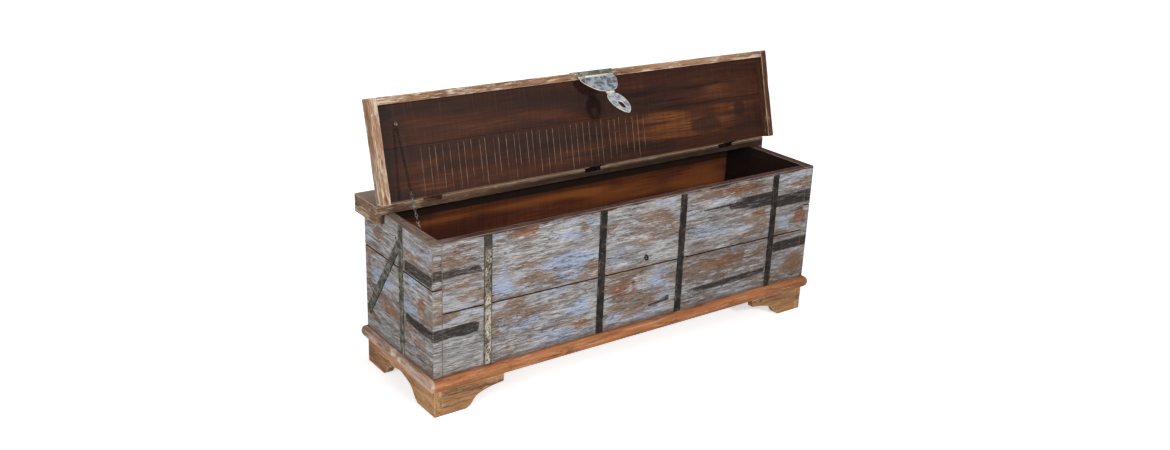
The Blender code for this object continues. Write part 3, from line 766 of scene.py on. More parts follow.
    # Inside
    g.grain = board_grain
    warm, inner_height, _, _ = wood_colour(g, (50, 23, 12), (92, 46, 23), (138, 77, 36), 61)
    saw = g.smooth(g.noise(260, 6, 2.0, 0.5, 0.0, 67), 0.5, 0.62, 0.0, 0.4)
    warm = g.mix(saw, warm, (54, 26, 15))
    back = g.smooth(y, 0.0, 0.1)
    red = back * g.smooth(z + broad * (60 * MM), 360 * MM, 385 * MM, 0.6, 0.0)
    warm = g.mix(red, warm, g.mix(saw, (74, 34, 24), (40, 20, 16)))
    lit = g.smooth(bare + broad * 0.9 + fine * 0.7, 0.85, 1.75, 0.0, 0.75)
    warm = g.mix(lit, warm, (146, 84, 36))
    # Painted shadow of the rail: a near-black strip along the top of the back wall's inner face
    painted_rail_shadow = back * g.smooth(z, 371 * MM, 376 * MM, 0.0, 0.92)
    warm = g.mix(painted_rail_shadow, warm, (20, 13, 10))
    rim_top = g.smooth(z, BODY_HIGH.z - 3 * MM, BODY_HIGH.z - 1 * MM)
    warm = g.mix(rim_top, warm, rim)
    # Painted shade: the inner face of the right wall is made nearly black, as it lies in shade; its rim top
    # is left out
    painted_right_wall_shade = g.smooth(x, BODY_HIGH.x - SIDE_WALL - 4 * MM, BODY_HIGH.x - SIDE_WALL - 1 * MM, 0.0, 0.93)
    painted_right_wall_shade = painted_right_wall_shade * g.smooth(rim_top, 0.0, 1.0, 1.0, 0.0)
    warm = g.mix(painted_right_wall_shade, warm, (14, 9, 7))
    g.color = g.mix(outside, warm, g.color)

    relief = cover * 0.5 + height * 0.5 + crack * -1.2 + dash * -0.7 + lines * -0.8
    relief = g.mix(outside, inner_height, relief)
    normal = g.bump(relief, 0.7 * MM, 0.75)
    rough = g.smooth(cover * -0.15 + fine, 0.2, 0.8, 0.62, 0.86)
    return g.finish(rough, normal)


def lid_material():
    """Dark red-brown boards with saw kerfs inside, worn paint on top."""
    g = Graph("lid_boards")
    warm = g.attribute("bare")
    deep = g.attribute("blue")
    x, y, z = g.split(g.place)
    g.color, height, broad, fine = wood_colour(g, (26, 12, 8), (56, 28, 16), (80, 42, 23), 3)
    lit = g.mix(g.smooth(fine, 0.4, 0.6), (76, 40, 19), (124, 72, 34))
    g.coat(g.smooth(warm + broad * 0.6, 0.3, 1.15), lit)
    purple = g.smooth(x, -0.1, 0.2, 0.35, 0.0)
    g.coat(purple * g.smooth(broad, 0.35, 0.6, 1.0, 0.3), (58, 35, 32))
    g.coat(g.smooth(deep + broad * 0.5, 0.4, 0.95, 0.0, 0.75), (38, 20, 18))
    across = g.noise(300, 8, 3.0, 0.55, 0.0, 13)
    g.coat(g.smooth(across, 0.5, 0.62, 0.0, 0.26), (36, 19, 14))
    g.coat(g.smooth(across, 0.44, 0.36, 0.0, 0.1), (112, 72, 50))

    # Saw kerfs: pale thin lines, a little slanted, on the board next to the hinges
    reach = LID_HIGH.y - y
    slanted = x + reach * KERF_SLANT
    turn = slanted * (1.0 / KERF_PITCH)
    line = g.math("FRACT", turn)
    number = g.math("FLOOR", turn)
    each = g.make("TexWhiteNoise")
    each.noise_dimensions = "1D"
    g.feed(each.inputs["W"], number)
    luck = g.value(each.outputs["Value"])
    centre = g.smooth(luck, 0.0, 1.0, 0.35, 0.65)
    off = abs(line - centre)
    stroke = g.smooth(off, 0.014, 0.040, 1.0, 0.0)
    span = g.smooth(x, KERF_START - 8 * MM, KERF_START) * g.smooth(x, KERF_END, KERF_END + 8 * MM, 1.0, 0.0)
    top = luck * (-5 * MM) + KERF_TOP
    end = g.math("FRACT", luck * 7.0) * (34 * MM)
    length = g.smooth(top - reach, 0.0, 4 * MM) * g.smooth(reach - end, 0.0, 14 * MM, 0.15, 1.0)
    faint = g.smooth(g.noise(90, 30, 2.0), 0.36, 0.6, 0.25, 0.95)
    kerf = stroke * span * (length * faint)
    g.coat(kerf * 0.7, (168, 142, 120))
    left_end = g.smooth(x, LID_LOW.x + 6 * MM, LID_LOW.x + 70 * MM, 0.55, 0.0)
    g.coat(left_end, (40, 30, 30))

    # The outer face is painted like the body
    streak = g.noise(22, 190, 4.0, 0.65, 0.5, 17)
    large = g.noise(5, 24, 3.0, 0.6, 0.8, 19)
    left = large * 0.5 + streak * 0.5 + warm * -0.085 + g.wear * -0.07 + 0.03
    cover = g.smooth(left, 0.475, 0.525)
    paint = g.mix(g.smooth(large + deep * 0.15, 0.5, 0.65), (196, 190, 180), (158, 172, 204))
    old = g.mix(fine, (96, 64, 46), (168, 126, 96))
    outer = g.mix(cover, old, paint)
    upper = g.smooth(z, LID_HIGH.z - 3 * MM, LID_HIGH.z - 1.5 * MM)
    g.coat(upper, outer)
    edge = g.smooth(y, LID_HIGH.y - 3 * MM, LID_HIGH.y - 1 * MM)
    g.coat(edge * 0.8, g.mix(fine, (110, 74, 52), (172, 134, 104)))
    crack = cracks(g, 5, 70, 0.008, 71)
    g.coat(crack * 0.7, (24, 13, 10))
    relief = height * 0.8 + kerf * -0.9 + crack * -1.0 + upper * (cover * 0.5)
    normal = g.bump(relief, 0.6 * MM, 0.6)
    return g.finish(g.smooth(fine, 0.3, 0.7, 0.52, 0.72), normal)


def worn_wood(name, dark, mid, light, pale, pale_share, shift, edge_colour=None, top_tint=None,
              edge_wear=0.7):
    """Bare or thinly painted wood with pale rubbed streaks and lighter arrises."""
    g = Graph(name)
    wood, height, _, fine = wood_colour(g, dark, mid, light, shift)
    streak = g.noise(24, 260, 5.0, 0.7, 0.5, shift + 7)
    large = g.noise(9, 40, 3.0, 0.6, 0.6, shift + 9)
    field = streak * 0.55 + large * 0.45 + g.wear * 0.03
    rubbed = g.smooth(field, 0.60 - pale_share * 0.16, 0.66 - pale_share * 0.12, 0.0, 0.85)
    g.color = g.mix(rubbed, wood, pale)
    soot = g.smooth(g.noise(20, 150, 4.0, 0.7, 0.6, shift + 15), 0.54, 0.66, 0.0, 0.75)
    g.coat(soot, dark)
    worn = g.smooth(g.wear + streak * 0.9, 1.15, 1.6, 0.0, edge_wear)
    g.coat(worn, edge_colour or light)
    crack = g.math("MAXIMUM", cracks(g, 8, 110, 0.012, shift + 21),
                   cracks(g, 20, 240, 0.02, shift + 27, 0.46))
    g.coat(crack * 0.8, g.mix(0.5, dark, (20, 14, 10)))
    # Painted shade from the bare marks: low on the rail's front and on the inner half of its end blocks;
    # other boards have none
    g.coat(g.attribute("bare") * 0.92, g.mix(0.7, dark, (20, 13, 10)))
    if top_tint:
        top = g.smooth(g.split(g.place)[2], LID_HIGH.z - 2 * MM, LID_HIGH.z - MM, 0.0, 0.8)
        g.coat(top, top_tint)
    relief = height + crack * -1.2 + rubbed * 0.3
    return g.finish(g.smooth(fine, 0.3, 0.7, 0.6, 0.8), g.bump(relief, 0.6 * MM, 0.7))


def old_iron(name, dark, mid, worn, share, rough, metallic, bump=0.8 * MM):
    """Painted and rusted flat iron."""
    g = Graph(name)
    blotch = g.spots(60, 60, 4.0, 0.65, 0.6, 3)
    small = g.spots(300, 300, 4.0, 0.7, 0.3, 5)
    scratch = g.noise(30, 500, 3.0, 0.6, 0.2, 7)
    g.color = g.mix(g.smooth(blotch, 0.4, 0.6), dark, mid)
    field = blotch * 0.4 + small * 0.3 + scratch * 0.3 + g.wear * 0.05
    rubbed = g.smooth(field, 0.62 - share * 0.2, 0.68 - share * 0.16)
    g.coat(rubbed, worn)
    rust = g.smooth(g.spots(110, 110, 4.0, 0.7, 0.5, 13), 0.58, 0.7, 0.0, 0.55)
    g.coat(rust, (96, 56, 34))
    pits = g.smooth(small, 0.30, 0.42, -0.6, 0.0)
    height = blotch * 0.6 + small * 0.4 + pits + rubbed * 0.25
    shine = g.smooth(small, 0.3, 0.7, rough[0], rough[1])
    mat = g.finish(shine, g.bump(height, bump, 0.7), metallic)
    g.shader.inputs["Specular IOR Level"].default_value = 0.25
    return mat


def first_strap_material():
    """Dark at its top, khaki below, and flaked to a cream undercoat between dark edges at the bottom."""
    g = Graph("strap_iron_worn")
    z = g.split(g.place)[2]
    blotch = g.spots(60, 34, 4.0, 0.7, 1.0, 3)
    small = g.spots(320, 240, 4.0, 0.7, 0.4, 5)
    g.color = g.mix(g.smooth(small, 0.4, 0.6), (88, 82, 70), (128, 122, 106))
    low = g.smooth(z, 250 * MM, 320 * MM, 0.10, -0.02)
    flaked = g.smooth(blotch + small * 0.35 + low, 0.72, 0.8)
    g.coat(flaked, g.mix(g.smooth(small, 0.35, 0.65), (122, 114, 98), (200, 192, 174)))
    top = g.smooth(z + blotch * (30 * MM), 400 * MM, 422 * MM, 0.0, 0.85)
    g.coat(top, (44, 40, 38))
    dents = g.smooth(g.spots(90, 60, 4.0, 0.7, 0.8, 9), 0.54, 0.6, 0.0, 0.9)
    g.coat(dents, (54, 48, 42))
    edge = g.smooth(g.wear + small * 0.5, 0.7, 1.0, 0.0, 0.8)
    g.coat(edge, (52, 47, 42))
    height = small * 0.5 + flaked * 0.6 + dents * -0.6
    return g.finish(0.8, g.bump(height, 0.8 * MM, 0.7))


# Board geometry

# How much each long arris is knocked, going round: those along a seam are kept crisp
SEAM_CORNERS = {"lower": (0.7, 0.7, 0.35, 0.35), "upper": (0.35, 0.35, 1.2, 1.2)}


def lean_edge(sign):
    """Moves a front board's edge to the slanted joint; the board is built to its furthest level."""
    furthest = max(level for level, _ in SEAM_ENDS)
    if sign < 0:
        furthest = 2 * FRONT_SEAM - furthest

    def carve(p):
        near = ease(30 * MM - sign * (furthest - p.z), 0.0, 24 * MM)
        target = front_seam(p.x) - sign * SEAM_HALF
        return Vector((p.x, p.y, p.z + near * (target - furthest)))
    return carve


def build_body(mat):
    seeds = {"front_board_lower": 3.0, "front_board_upper": 11.0, "back_board_lower": 19.0,
             "back_board_upper": 27.0}
    leaning = {"front_board_lower": lean_edge(1.0), "front_board_upper": lean_edge(-1.0)}
    for node, seed in seeds.items():
        board(node, 0, mat, seed, "painted_wood", marks=wall_marks, knocked=SEAM_CORNERS[node[-5:]],
              carve=leaning.get(node))
    sides = {"left_board_lower": 35.0, "left_board_upper": 41.0, "right_board_lower": 53.0,
             "right_board_upper": 61.0}
    for node, seed in sides.items():
        board(node, 1, mat, seed, "painted_wood_side", marks=wall_marks, knocked=SEAM_CORNERS[node[-5:]])


def build_floor(mat):
    for node, seed in (("floor_board_front", 71.0), ("floor_board_back", 77.0)):
        board(node, 0, mat, seed, "bare_wood", step=20 * MM, chip=1.0 * MM)
    for node, seed in (("floor_batten_left", 81.0), ("floor_batten_right", 87.0)):
        board(node, 1, mat, seed, "bare_wood")
    for n, node in enumerate(sorted(name for name in NODES if name.startswith("foot_block"))):
        board(node, 2, mat, 91.0 + 3 * n, "bare_wood")


def carve_hinges(side, depth, bottom=0.0):
    """Lets the hinge leaves into one long edge of a board, down to a level."""
    limit = side + depth

    def carve(p):
        covered = p.y < limit if depth > 0 else p.y > limit
        beside = any(start - 0.4 * MM <= p.x <= end + 0.4 * MM for start, end in HINGE_SPANS)
        return Vector((p.x, limit, p.z)) if covered and beside and p.z > bottom else p
    return carve


def pocket_stations():
    return [edge + off * MM for span in HINGE_SPANS for edge in span for off in (-0.5, -0.3, 0.3, 0.5)]


def build_rail(mat):
    low, high = node_box("rail_board")
    bottom = node_box("hinge_1_rail_leaf")[0].z - 0.5 * MM
    levels = (high.z - 7 * MM, bottom - 0.1 * MM, bottom + 0.1 * MM)
    board("rail_board", 0, mat, 101.0, "rail_wood", extra=pocket_stations(), marks=rail_marks, chip=1.6 * MM,
          carve=carve_hinges(low.y, HINGE_POCKET, bottom), levels=levels)
    for node, seed in (("rail_end_left", 107.0), ("rail_end_right", 113.0)):
        board(node, 1, mat, seed, "rail_wood", marks=rail_marks, across=5 * MM)


def build_lid(board_mat, rim_mat, right_mat):
    def lid_board(node, axis, mat, seed, slot="rim_wood", **options):
        board(node, axis, mat, seed, slot, "lid", LID_OPEN, **options)

    lid_board("lid_board_front", 0, board_mat, 121.0, "lid_wood", marks=lid_marks, chip=0.8 * MM)
    lid_board("lid_board_rear", 0, board_mat, 131.0, "lid_wood", marks=lid_marks, chip=0.8 * MM,
              extra=pocket_stations(), carve=carve_hinges(LID_HIGH.y, -HINGE_POCKET),
              grow=(0.0, 0.75 * MM, 0.0))
    lid_board("lid_rim_front", 0, rim_mat, 141.0)
    lid_board("lid_rim_left", 1, rim_mat, 147.0)
    lid_board("lid_rim_right", 1, right_mat, 153.0)


# Plinth moulding

NOSE_POINTS = 14
NOSE_DEPTH = 11 * MM


def nose_profile(low, high, out, inner):
    """Outline of the moulding as (outwards, up), round on its outer side."""
    middle = (low + high) / 2
    half = (high - low) / 2
    points = [(inner, high), (inner, low)]
    for i in range(NOSE_POINTS + 1):
        angle = -math.pi / 2 + math.pi * i / NOSE_POINTS
        points.append((out - NOSE_DEPTH + NOSE_DEPTH * math.cos(angle), middle + half * math.sin(angle)))
    return points


def moulding(node, along, sign, mat, seed, chips=()):
    """One mitred side of the plinth, with a hand-planed, knocked nose."""
    low, high = node_box(node)
    across = 1 - along
    out = high[across] if sign > 0 else -low[across]
    inner = low[across] if sign > 0 else -high[across]
    profile = nose_profile(low.z, high.z, out, inner)
    shape = Shape()
    rows = []
    length = high[along] - low[along]
    count = round(length / (6 * MM))
    for i in range(count + 1):
        share = -1.0 + 2.0 * i / count
        ring = []
        edges = []
        for k, (reach, z) in enumerate(profile):
            nose = k >= 2
            spot = share * (length / 2 - (out - reach))
            depth = 0.0
            if nose:
                lift = math.sin(math.pi * (k - 2) / NOSE_POINTS)
                depth = 0.5 * MM * lift * (0.6 + wave(spot * 22, k * 0.35, seed))
                depth += 1.6 * MM * lift * ease(wave(spot * 26, k * 0.5 + 30, seed), 0.35, 0.65)
                for centre, half, level, cut in chips:
                    near = 1 - ease(abs(spot - centre), half * 0.6, half)
                    near *= 1 - ease(abs(z - level), 5 * MM, 9 * MM)
                    depth += cut * near * (0.7 + 0.5 * wave(spot * 190, z * 190, seed))
            p = Vector((0.0, 0.0, z))
            p[along] = spot
            p[across] = sign * (reach - depth)
            ring.append(p)
            edges.append(0.35 + 0.65 * abs(wave(spot * 40, k * 0.4, seed + 5)) * 2 if nose else 0.2)
        rows.append(shape.ring(ring, edges))
    shape.loft(rows)
    shape.cap(rows)

    def chip_marks(p):
        spots = [(centre / MM, level / MM, half / MM, 11, 0.62) for centre, half, level, _ in chips]
        return patches(p[along] / MM, p.z / MM, spots), 0.0, NO_BAND

    obj = shape.finish(node + "_look", mat, along, seed, chip_marks)
    stand_for(obj, "chest", node)


def plinth_material():
    g = Graph("plinth_wood")
    wood, height, broad, fine = wood_colour(g, (94, 56, 36), (156, 98, 60), (188, 130, 84), 31)
    streak = g.noise(14, 150, 4.0, 0.7, 0.5, 37)
    pale = g.smooth(streak + g.wear * 0.05, 0.56, 0.68, 0.0, 0.55)
    g.color = g.mix(pale, wood, (182, 146, 124))
    soot = g.smooth(g.noise(10, 60, 4.0, 0.7, 0.6, 41), 0.5, 0.66, 0.0, 0.7)
    g.coat(soot, (78, 50, 38))
    chip = g.attribute("bare")
    ragged = chip + g.spots(130, 130, 4.0, 0.7, 1.2, 3) * 1.4
    chipped = g.smooth(ragged, 1.12, 1.20)
    g.coat(chipped, g.mix(fine, (176, 150, 124), (226, 208, 184)))
    side_paint = g.smooth(streak + broad * 0.5, 0.55, 0.85, 0.15, 0.75)
    left = g.smooth(g.split(g.place)[0], BODY_LOW.x - 4 * MM, BODY_LOW.x, 1.0, 0.0)
    g.coat(side_paint * left, (196, 176, 162))
    crack = cracks(g, 8, 110, 0.012, 47)
    g.coat(crack * 0.8, (44, 28, 22))
    relief = height + crack * -1.2 + chipped * -0.5
    return g.finish(g.smooth(fine, 0.3, 0.7, 0.55, 0.75), g.bump(relief, 0.6 * MM, 0.7))


def build_plinth(mat):
    level = node_box("plinth_left")[1].z - 8 * MM
    chips = ((14 * MM, 20 * MM, level, 3.2 * MM), (-20 * MM, 14 * MM, level - 5 * MM, 2.6 * MM))
    moulding("plinth_front", 0, -1, mat, 5.0)
    moulding("plinth_back", 0, 1, mat, 9.0)
    moulding("plinth_left", 1, -1, mat, 15.0, chips)
    moulding("plinth_right", 1, 1, mat, 21.0)


def build_feet(mat):
    for n, node in enumerate(("foot_front_left", "foot_front_right", "foot_back_left", "foot_back_right")):
        softened(node, mat, 1.3 * MM, 4 * MM, 0, 3.0 + 7 * n, segments=3)
    for n, node in enumerate(("foot_side_left", "foot_side_right")):
        softened(node, mat, 1.3 * MM, 4 * MM, 1, 41.0 + 7 * n, segments=3)


# Straps and nails

NAIL_SIDES = 12
NAIL_LEVELS = 5


def strap(node, mat, seed):
    board(node, 2, mat, seed, "strap_iron", radius=0.6 * MM, chip=0.5 * MM, bump=0.25 * MM, wobble=0.5 * MM,
          step=5 * MM, across=5 * MM)


def nails(name, spots, out, radius, mat):
    """Hammered nail heads: low uneven domes on a face that looks along out."""
    shape = Shape()
    up = Vector(out).normalized()
    side = up.orthogonal().normalized()
    other = up.cross(side)
    for number, (spot, size) in enumerate(spots):
        centre = Vector(spot)
        rows = []
        for level in range(NAIL_LEVELS):
            tilt = math.pi / 2 * level / 4.5
            ring = []
            for i in range(NAIL_SIDES):
                turn = 2 * math.pi * i / NAIL_SIDES
                uneven = 1.0 + 0.14 * wave(number * 3.1, i * 0.9, level * 0.4)
                r = radius * size * math.cos(tilt) * uneven
                lift = radius * size * 0.42 * math.sin(tilt) - 0.4 * MM * (level == 0)
                ring.append(centre + side * r * math.cos(turn) + other * r * math.sin(turn) + up * lift)
            rows.append(shape.ring(ring, [0.5 + 0.1 * level] * NAIL_SIDES))
        shape.loft(rows)
        shape.cap(rows)
    obj = shape.finish(name, mat, 2, 5.0, sharp=60.0)
    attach(obj, "chest")


def strap_nails(mat):
    spots = []
    for n in (1, 2, 3, 4):
        low, high = node_box("strap_front_%d" % n)
        middle = (low.x + high.x) / 2
        for k, share in enumerate((0.035, 0.36, 0.66, 0.965)):
            z = low.z + (high.z - low.z) * share + 3 * MM * wave(n * 3.7, k * 2.9)
            x = middle + 3 * MM * wave(n * 1.3, k * 5.1)
            spots.append(((x, low.y + 0.3 * MM, z), 0.9 + 0.2 * wave(n, k)))
    nails("front_strap_nails", spots, (0, -1, 0), 2.6 * MM, mat)
    for side, sign in (("left", -1), ("right", 1)):
        low, high = node_box("strap_%s_upright" % side)
        x = low.x + 0.3 * MM if sign < 0 else high.x - 0.3 * MM
        y = (low.y + high.y) / 2
        spots = [((x, y + 2 * MM * wave(k * 2.3, sign), low.z + (high.z - low.z) * share), 0.95)
                 for k, share in enumerate((0.04, 0.5, 0.96))]
        if side == "left":
            spots.append(((x, 148 * MM, 160 * MM), 1.0))
            spots.append(((x, 2 * MM, 392 * MM), 1.0))
        nails(side + "_strap_nails", spots, (sign, 0, 0), 2.6 * MM, mat)


def wood_nails(mat):
    """Nail heads sunk flush in the feet and the walls."""
    foot_front = node_box("foot_front_left")[0]
    foot_left = node_box("foot_side_left")[0]
    spots = []
    for sign in (-1, 1):
        for x, z in ((588, 22), (588, 60), (476, 62)):
            spots.append(((sign * x * MM, foot_front.y + 0.5 * MM, z * MM), 0.7))
    wall = BODY_LOW.y + 0.7 * MM
    for x in (-588, 588):
        for z in (128, 240, 268, 320, 404):
            spots.append(((x * MM, wall, (z + 4 * wave(x, z)) * MM), 0.5))
    spots.append(((-466 * MM, wall, 421 * MM), 0.8))
    nails("front_nails", spots, (0, -1, 0), 2.2 * MM, mat)
    wall = BODY_LOW.x + 0.7 * MM
    spots = [((wall, y * MM, z * MM), size) for y, z, size in
             ((-62, 126, 0.9), (10, 326, 0.8), (152, 140, 0.8), (-168, 400, 0.5), (-168, 240, 0.5))]
    spots += [((foot_left.x + 0.5 * MM, y * MM, 50 * MM), 0.7) for y in (-150, 150)]
    nails("left_nails", spots, (-1, 0, 0), 2.2 * MM, mat)


def build_straps(mat, pale_mat, side_mat):
    strap("strap_front_1", pale_mat, 3.0)
    for n, seed in ((2, 7.0), (3, 13.0), (4, 17.0)):
        strap("strap_front_%d" % n, mat, seed)
    strap("strap_left_upright", side_mat, 23.0)
    strap("strap_right_upright", side_mat, 29.0)
    softened("strap_left_diagonal", side_mat, 0.5 * MM, 3 * MM, 2, 31.0)


# Hinges, hasp and staple

def build_hinges(mats):
    for n, mat in enumerate(mats, 1):
        softened("hinge_%d_rail_leaf" % n, mat, 0.3 * MM, 0.0, 0, n)
        softened("hinge_%d_lid_leaf" % n, mat, 0.3 * MM, 0.0, 0, n + 5, "lid")
        softened("hinge_%d_pin" % n, mat, 0.2 * MM, 0.0, 0, n + 9)


def build_hasp(leaf_mat, tongue_mat, plate_mat, iron):
    softened("hasp_plate", plate_mat, 0.35 * MM, 1.5 * MM, 0, 3.0, "lid")
    softened("hasp_leaf", leaf_mat, 0.45 * MM, 3.0 * MM, 0, 7.0, "hasp_leaf_body",
             relief=0.3 * MM)
    softened("hasp_tongue", tongue_mat, 0.45 * MM, 2.6 * MM, 0, 11.0, "hasp_tongue_body",
             relief=0.3 * MM, slotted=True)
    softened("hasp_pin", iron, 0.2 * MM, 0.0, 0, 15.0, "hasp_pin_body")
    softened("hasp_staple", iron, 0.5 * MM, 0.0, 0, 19.0)


def hasp_material(name, dark, light, pale, share):
    """Tin-plated iron, rubbed pale at its arrises and dark in its hollows."""
    g = Graph(name)
    blotch = g.spots(55, 55, 4.0, 0.65, 0.6, 3)
    small = g.spots(380, 380, 4.0, 0.7, 0.3, 5)
    g.color = g.mix(g.smooth(blotch, 0.42, 0.57), dark, light)
    g.coat(g.smooth(small, 0.52, 0.66, 0.0, 0.8), (60, 60, 62))
    ridge = g.smooth(abs(g.wear - 0.42), 0.05, 0.22, 0.6, 0.0)
    g.coat(ridge, (70, 72, 78))
    rubbed = g.smooth(g.wear + small * 0.7, 1.15 - share, 1.55 - share, 0.0, 0.9)
    g.coat(rubbed, pale)
    height = blotch * 1.0 + small * 0.4
    return g.finish(g.smooth(small, 0.3, 0.7, 0.45, 0.65), g.bump(height, 0.9 * MM, 0.6), 0.3)


# Stay chain

LINK_LENGTH = 9.5 * MM
LINK_WIDTH = 5.6 * MM
WIRE = 0.75 * MM
WIRE_SIDES = 8
LINK_STEPS = 28
LINK_TWIST = math.radians(70)


def link_ring(centre, along, side, other, shape, turn):
    """One twisted link: a long loop of wire turned about its length from end to end."""
    straight = LINK_LENGTH / 2 - LINK_WIDTH / 2
    path = []
    for i in range(LINK_STEPS):
        angle = 2 * math.pi * i / LINK_STEPS
        reach = LINK_WIDTH / 2 * math.cos(angle) + math.copysign(straight, math.cos(angle))
        if abs(math.cos(angle)) < 0.3:
            reach = straight * math.cos(angle) / 0.3 + LINK_WIDTH / 2 * math.cos(angle)
        width = LINK_WIDTH / 2 * math.sin(angle)
        twist = turn + LINK_TWIST * reach / LINK_LENGTH
        path.append(centre + along * reach + (side * math.cos(twist) + other * math.sin(twist)) * width)
    rings = []
    for i, p in enumerate(path):
        ahead = (path[(i + 1) % LINK_STEPS] - path[i - 1]).normalized()
        u = (p - centre).cross(ahead).normalized()
        v = ahead.cross(u).normalized()
        ring = []
        for k in range(WIRE_SIDES):
            a = 2 * math.pi * k / WIRE_SIDES
            ring.append(p + u * WIRE * math.cos(a) + v * WIRE * math.sin(a))
        rings.append(shape.ring(ring, [0.5] * WIRE_SIDES))
    for i in range(LINK_STEPS):
        shape.bridge(rings[i], rings[(i + 1) % LINK_STEPS])


def chain_run(name, start, end, body, node, mat):
    """A run of twisted links from an eye to where the two halves of the chain meet."""
    along = (end - start).normalized()
    side = along.orthogonal().normalized()
    other = along.cross(side)
    pitch = LINK_LENGTH - 2.6 * WIRE
    count = max(2, round((end - start).length / pitch))
    shape = Shape()
    for i in range(count):
        centre = start.lerp(end, (i + 0.5) / count)
        link_ring(centre, along, side, other, shape, math.pi / 2 * (i % 2))
    obj = shape.finish(name, mat, 2, 5.0, sharp=80.0)
    stand_for(obj, body, node)


def build_chain(mat, painted_shade_chain_mat):
    low_pin = Vector(JOINTS["chain_lower_swing"]["pos_m"])
    high_pin = Vector(JOINTS["chain_upper_swing"]["pos_m"])
    reach = max((v.co - low_pin).length for v in NODES["chain_lower"].data.vertices)
    middle = low_pin.lerp(high_pin, reach / (high_pin - low_pin).length)
    away = (high_pin - low_pin).normalized() * 5 * MM
    chain_run("chain_lower_links", low_pin + away, middle, "chain_lower_body", "chain_lower", mat)
    # The upper run takes the black iron as painted shade: it is the same chain as the lower run, dark because
    # it hangs in shadow
    chain_run("chain_upper_links", high_pin - away, middle, "chain_upper_body", "chain_upper", painted_shade_chain_mat)
    softened("chain_eye_chest", mat, 0.2 * MM, 0.0, 0, 3.0)
    softened("chain_eye_lid", mat, 0.2 * MM, 0.0, 0, 5.0, "lid")


# Stage

FLOOR_HALF = 30.0
LIGHT_TARGET = Vector((0.0, 0.0, 0.3))

# Each light: place, width, power and colour
LIGHTS = {
    "key": ((-0.1, -3.75, 2.1), 0.4, 88, (1.0, 0.985, 0.96)),
    "fill": ((-3.4, -1.6, 1.2), 2.0, 82, (1.0, 0.99, 0.98)),
    "top": ((0.0, -0.2, 3.4), 2.0, 34, (1.0, 1.0, 1.0)),
}

# The camera was fitted to the edges of the chest in the photo; angles in degrees
CAMERA_PLACE = (-1.704, -2.224, 1.346)
CAMERA_TURN = -36.51
CAMERA_FALL = 20.29
CAMERA_ROLL = 2.25
CAMERA_LENS = 34.80


def floor_material():
    """Pale floor that fades to white away from the object, as studio paper does."""
    g = Graph("studio_floor")
    x, y, _ = g.split(g.make("NewGeometry").outputs["Position"])
    far = g.math("SQRT", x * x + y * y)
    glow = g.smooth(far, 0.5, 2.2, 0.62, 1.0)
    seen = g.make("LightPath").outputs["Is Camera Ray"]
    g.feed(g.shader.inputs["Emission Strength"], g.math("MULTIPLY", seen, glow))
    g.feed(g.shader.inputs["Emission Color"], (1.0, 1.0, 1.0, 1.0))
    g.color = (0.86, 0.86, 0.86, 1.0)
    return g.finish(0.9)


def build_stage():
    mesh = bpy.data.meshes.new("studio_floor")
    corners = [(x * FLOOR_HALF, y * FLOOR_HALF, 0) for x, y in ((-1, -1), (1, -1), (1, 1), (-1, 1))]
    mesh.from_pydata(corners, [], [(0, 1, 2, 3)])
    mesh.materials.append(floor_material())
    link("studio_floor", mesh)


def build_world():
    world = bpy.data.worlds.new("studio")
    bpy.context.scene.world = world
    world.use_nodes = True
    tree = world.node_tree
    seen = tree.nodes["Background"]
    soft = tree.nodes.new("ShaderNodeBackground")
    for node, color, strength in ((seen, (1.0, 1.0, 1.0, 1.0), 1.05), (soft, (0.95, 0.97, 1.0, 1.0), 0.17)):
        node.inputs["Color"].default_value = color
        node.inputs["Strength"].default_value = strength
    ray = tree.nodes.new("ShaderNodeLightPath")
    mix = tree.nodes.new("ShaderNodeMixShader")
    for socket, source in zip(mix.inputs, (ray.outputs["Is Camera Ray"], soft.outputs[0], seen.outputs[0])):
        tree.links.new(source, socket)
    tree.links.new(mix.outputs[0], tree.nodes["World Output"].inputs["Surface"])


def build_lights():
    for name, (place, size, power, color) in LIGHTS.items():
        data = bpy.data.lights.new(name, "AREA")
        data.shape = "DISK"
        data.size = size
        data.energy = power
        data.color = color
        lamp = link(name, data)
        lamp.location = place
        lamp.rotation_euler = (LIGHT_TARGET - Vector(place)).to_track_quat("-Z", "Y").to_euler()


def build_camera():
    data = bpy.data.cameras.new("camera")
    data.sensor_width = 36.0
    data.lens = CAMERA_LENS
    turn = Matrix.Rotation(math.radians(CAMERA_TURN), 4, "Z")
    tilt = Matrix.Rotation(math.radians(90.0 - CAMERA_FALL), 4, "X")
    roll = Matrix.Rotation(math.radians(CAMERA_ROLL), 4, "Z")
    camera = link("camera", data)
    camera.matrix_world = Matrix.Translation(CAMERA_PLACE) @ turn @ tilt @ roll
    bpy.context.scene.camera = camera


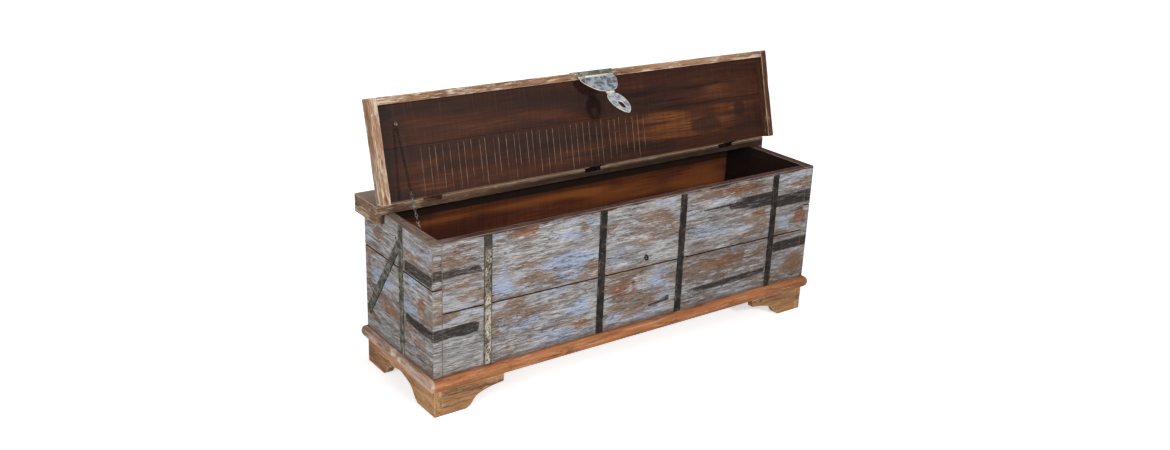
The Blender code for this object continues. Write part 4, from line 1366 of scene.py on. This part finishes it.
def build_object():
    build_body(body_material())
    raw = worn_wood("bare_wood", (84, 44, 24), (128, 74, 42), (160, 104, 64), (170, 124, 88), 0.2, 3)
    build_floor(raw)
    build_plinth(plinth_material())
    build_feet(worn_wood("foot_wood", (92, 62, 40), (158, 116, 80), (188, 148, 108), (204, 172, 138), 0.4, 9,
                         edge_wear=0.3))
    build_rail(worn_wood("rail_wood", (76, 54, 42), (122, 92, 72), (156, 124, 98), (182, 160, 138), 0.5, 17,
                         (150, 120, 94), (186, 166, 148), 0.4))
    rim = worn_wood("rim_wood", (88, 60, 44), (146, 108, 82), (172, 136, 108), (208, 194, 174), 0.58, 25,
                    (196, 170, 146))
    dark_rim = worn_wood("rim_wood_dark", (44, 28, 20), (80, 50, 34), (108, 72, 50), (160, 136, 116),
                         0.15, 25, (196, 170, 146), edge_wear=0.9)
    build_lid(lid_material(), rim, dark_rim)
    iron = old_iron("strap_iron", (22, 19, 18), (44, 38, 34), (98, 88, 78), 0.34, (0.65, 0.9), 0.0)
    side = old_iron("strap_iron_side", (58, 58, 52), (92, 92, 82), (136, 134, 122), 0.5, (0.65, 0.9), 0.0)
    black = old_iron("hinge_iron", (20, 18, 17), (34, 31, 29), (70, 64, 58), 0.2, (0.4, 0.65), 0.6, 0.3 * MM)
    rusty = old_iron("hinge_iron_rusty", (52, 36, 26), (84, 58, 40), (122, 92, 68), 0.3, (0.6, 0.8), 0.0,
                     0.3 * MM)
    links = old_iron("chain_iron", (58, 54, 52), (104, 100, 96), (168, 164, 158), 0.6, (0.35, 0.6), 0.7,
                     0.2 * MM)
    build_straps(iron, first_strap_material(), side)
    strap_nails(iron)
    wood_nails(black)
    build_hinges((rusty, black, black))
    leaf = hasp_material("hasp_metal", (92, 98, 110), (176, 181, 190), (222, 218, 206), 0.3)
    tongue = hasp_material("hasp_tongue_metal", (132, 138, 150), (196, 200, 206), (238, 232, 218), 0.45)
    plate = hasp_material("hasp_plate_metal", (84, 84, 74), (132, 132, 120), (196, 190, 174), 0.1)
    build_hasp(leaf, tongue, plate, black)
    build_chain(links, black)


build_object()
build_stage()
build_world()
build_lights()
build_camera()
bpy.context.scene.view_settings.view_transform = "Standard"
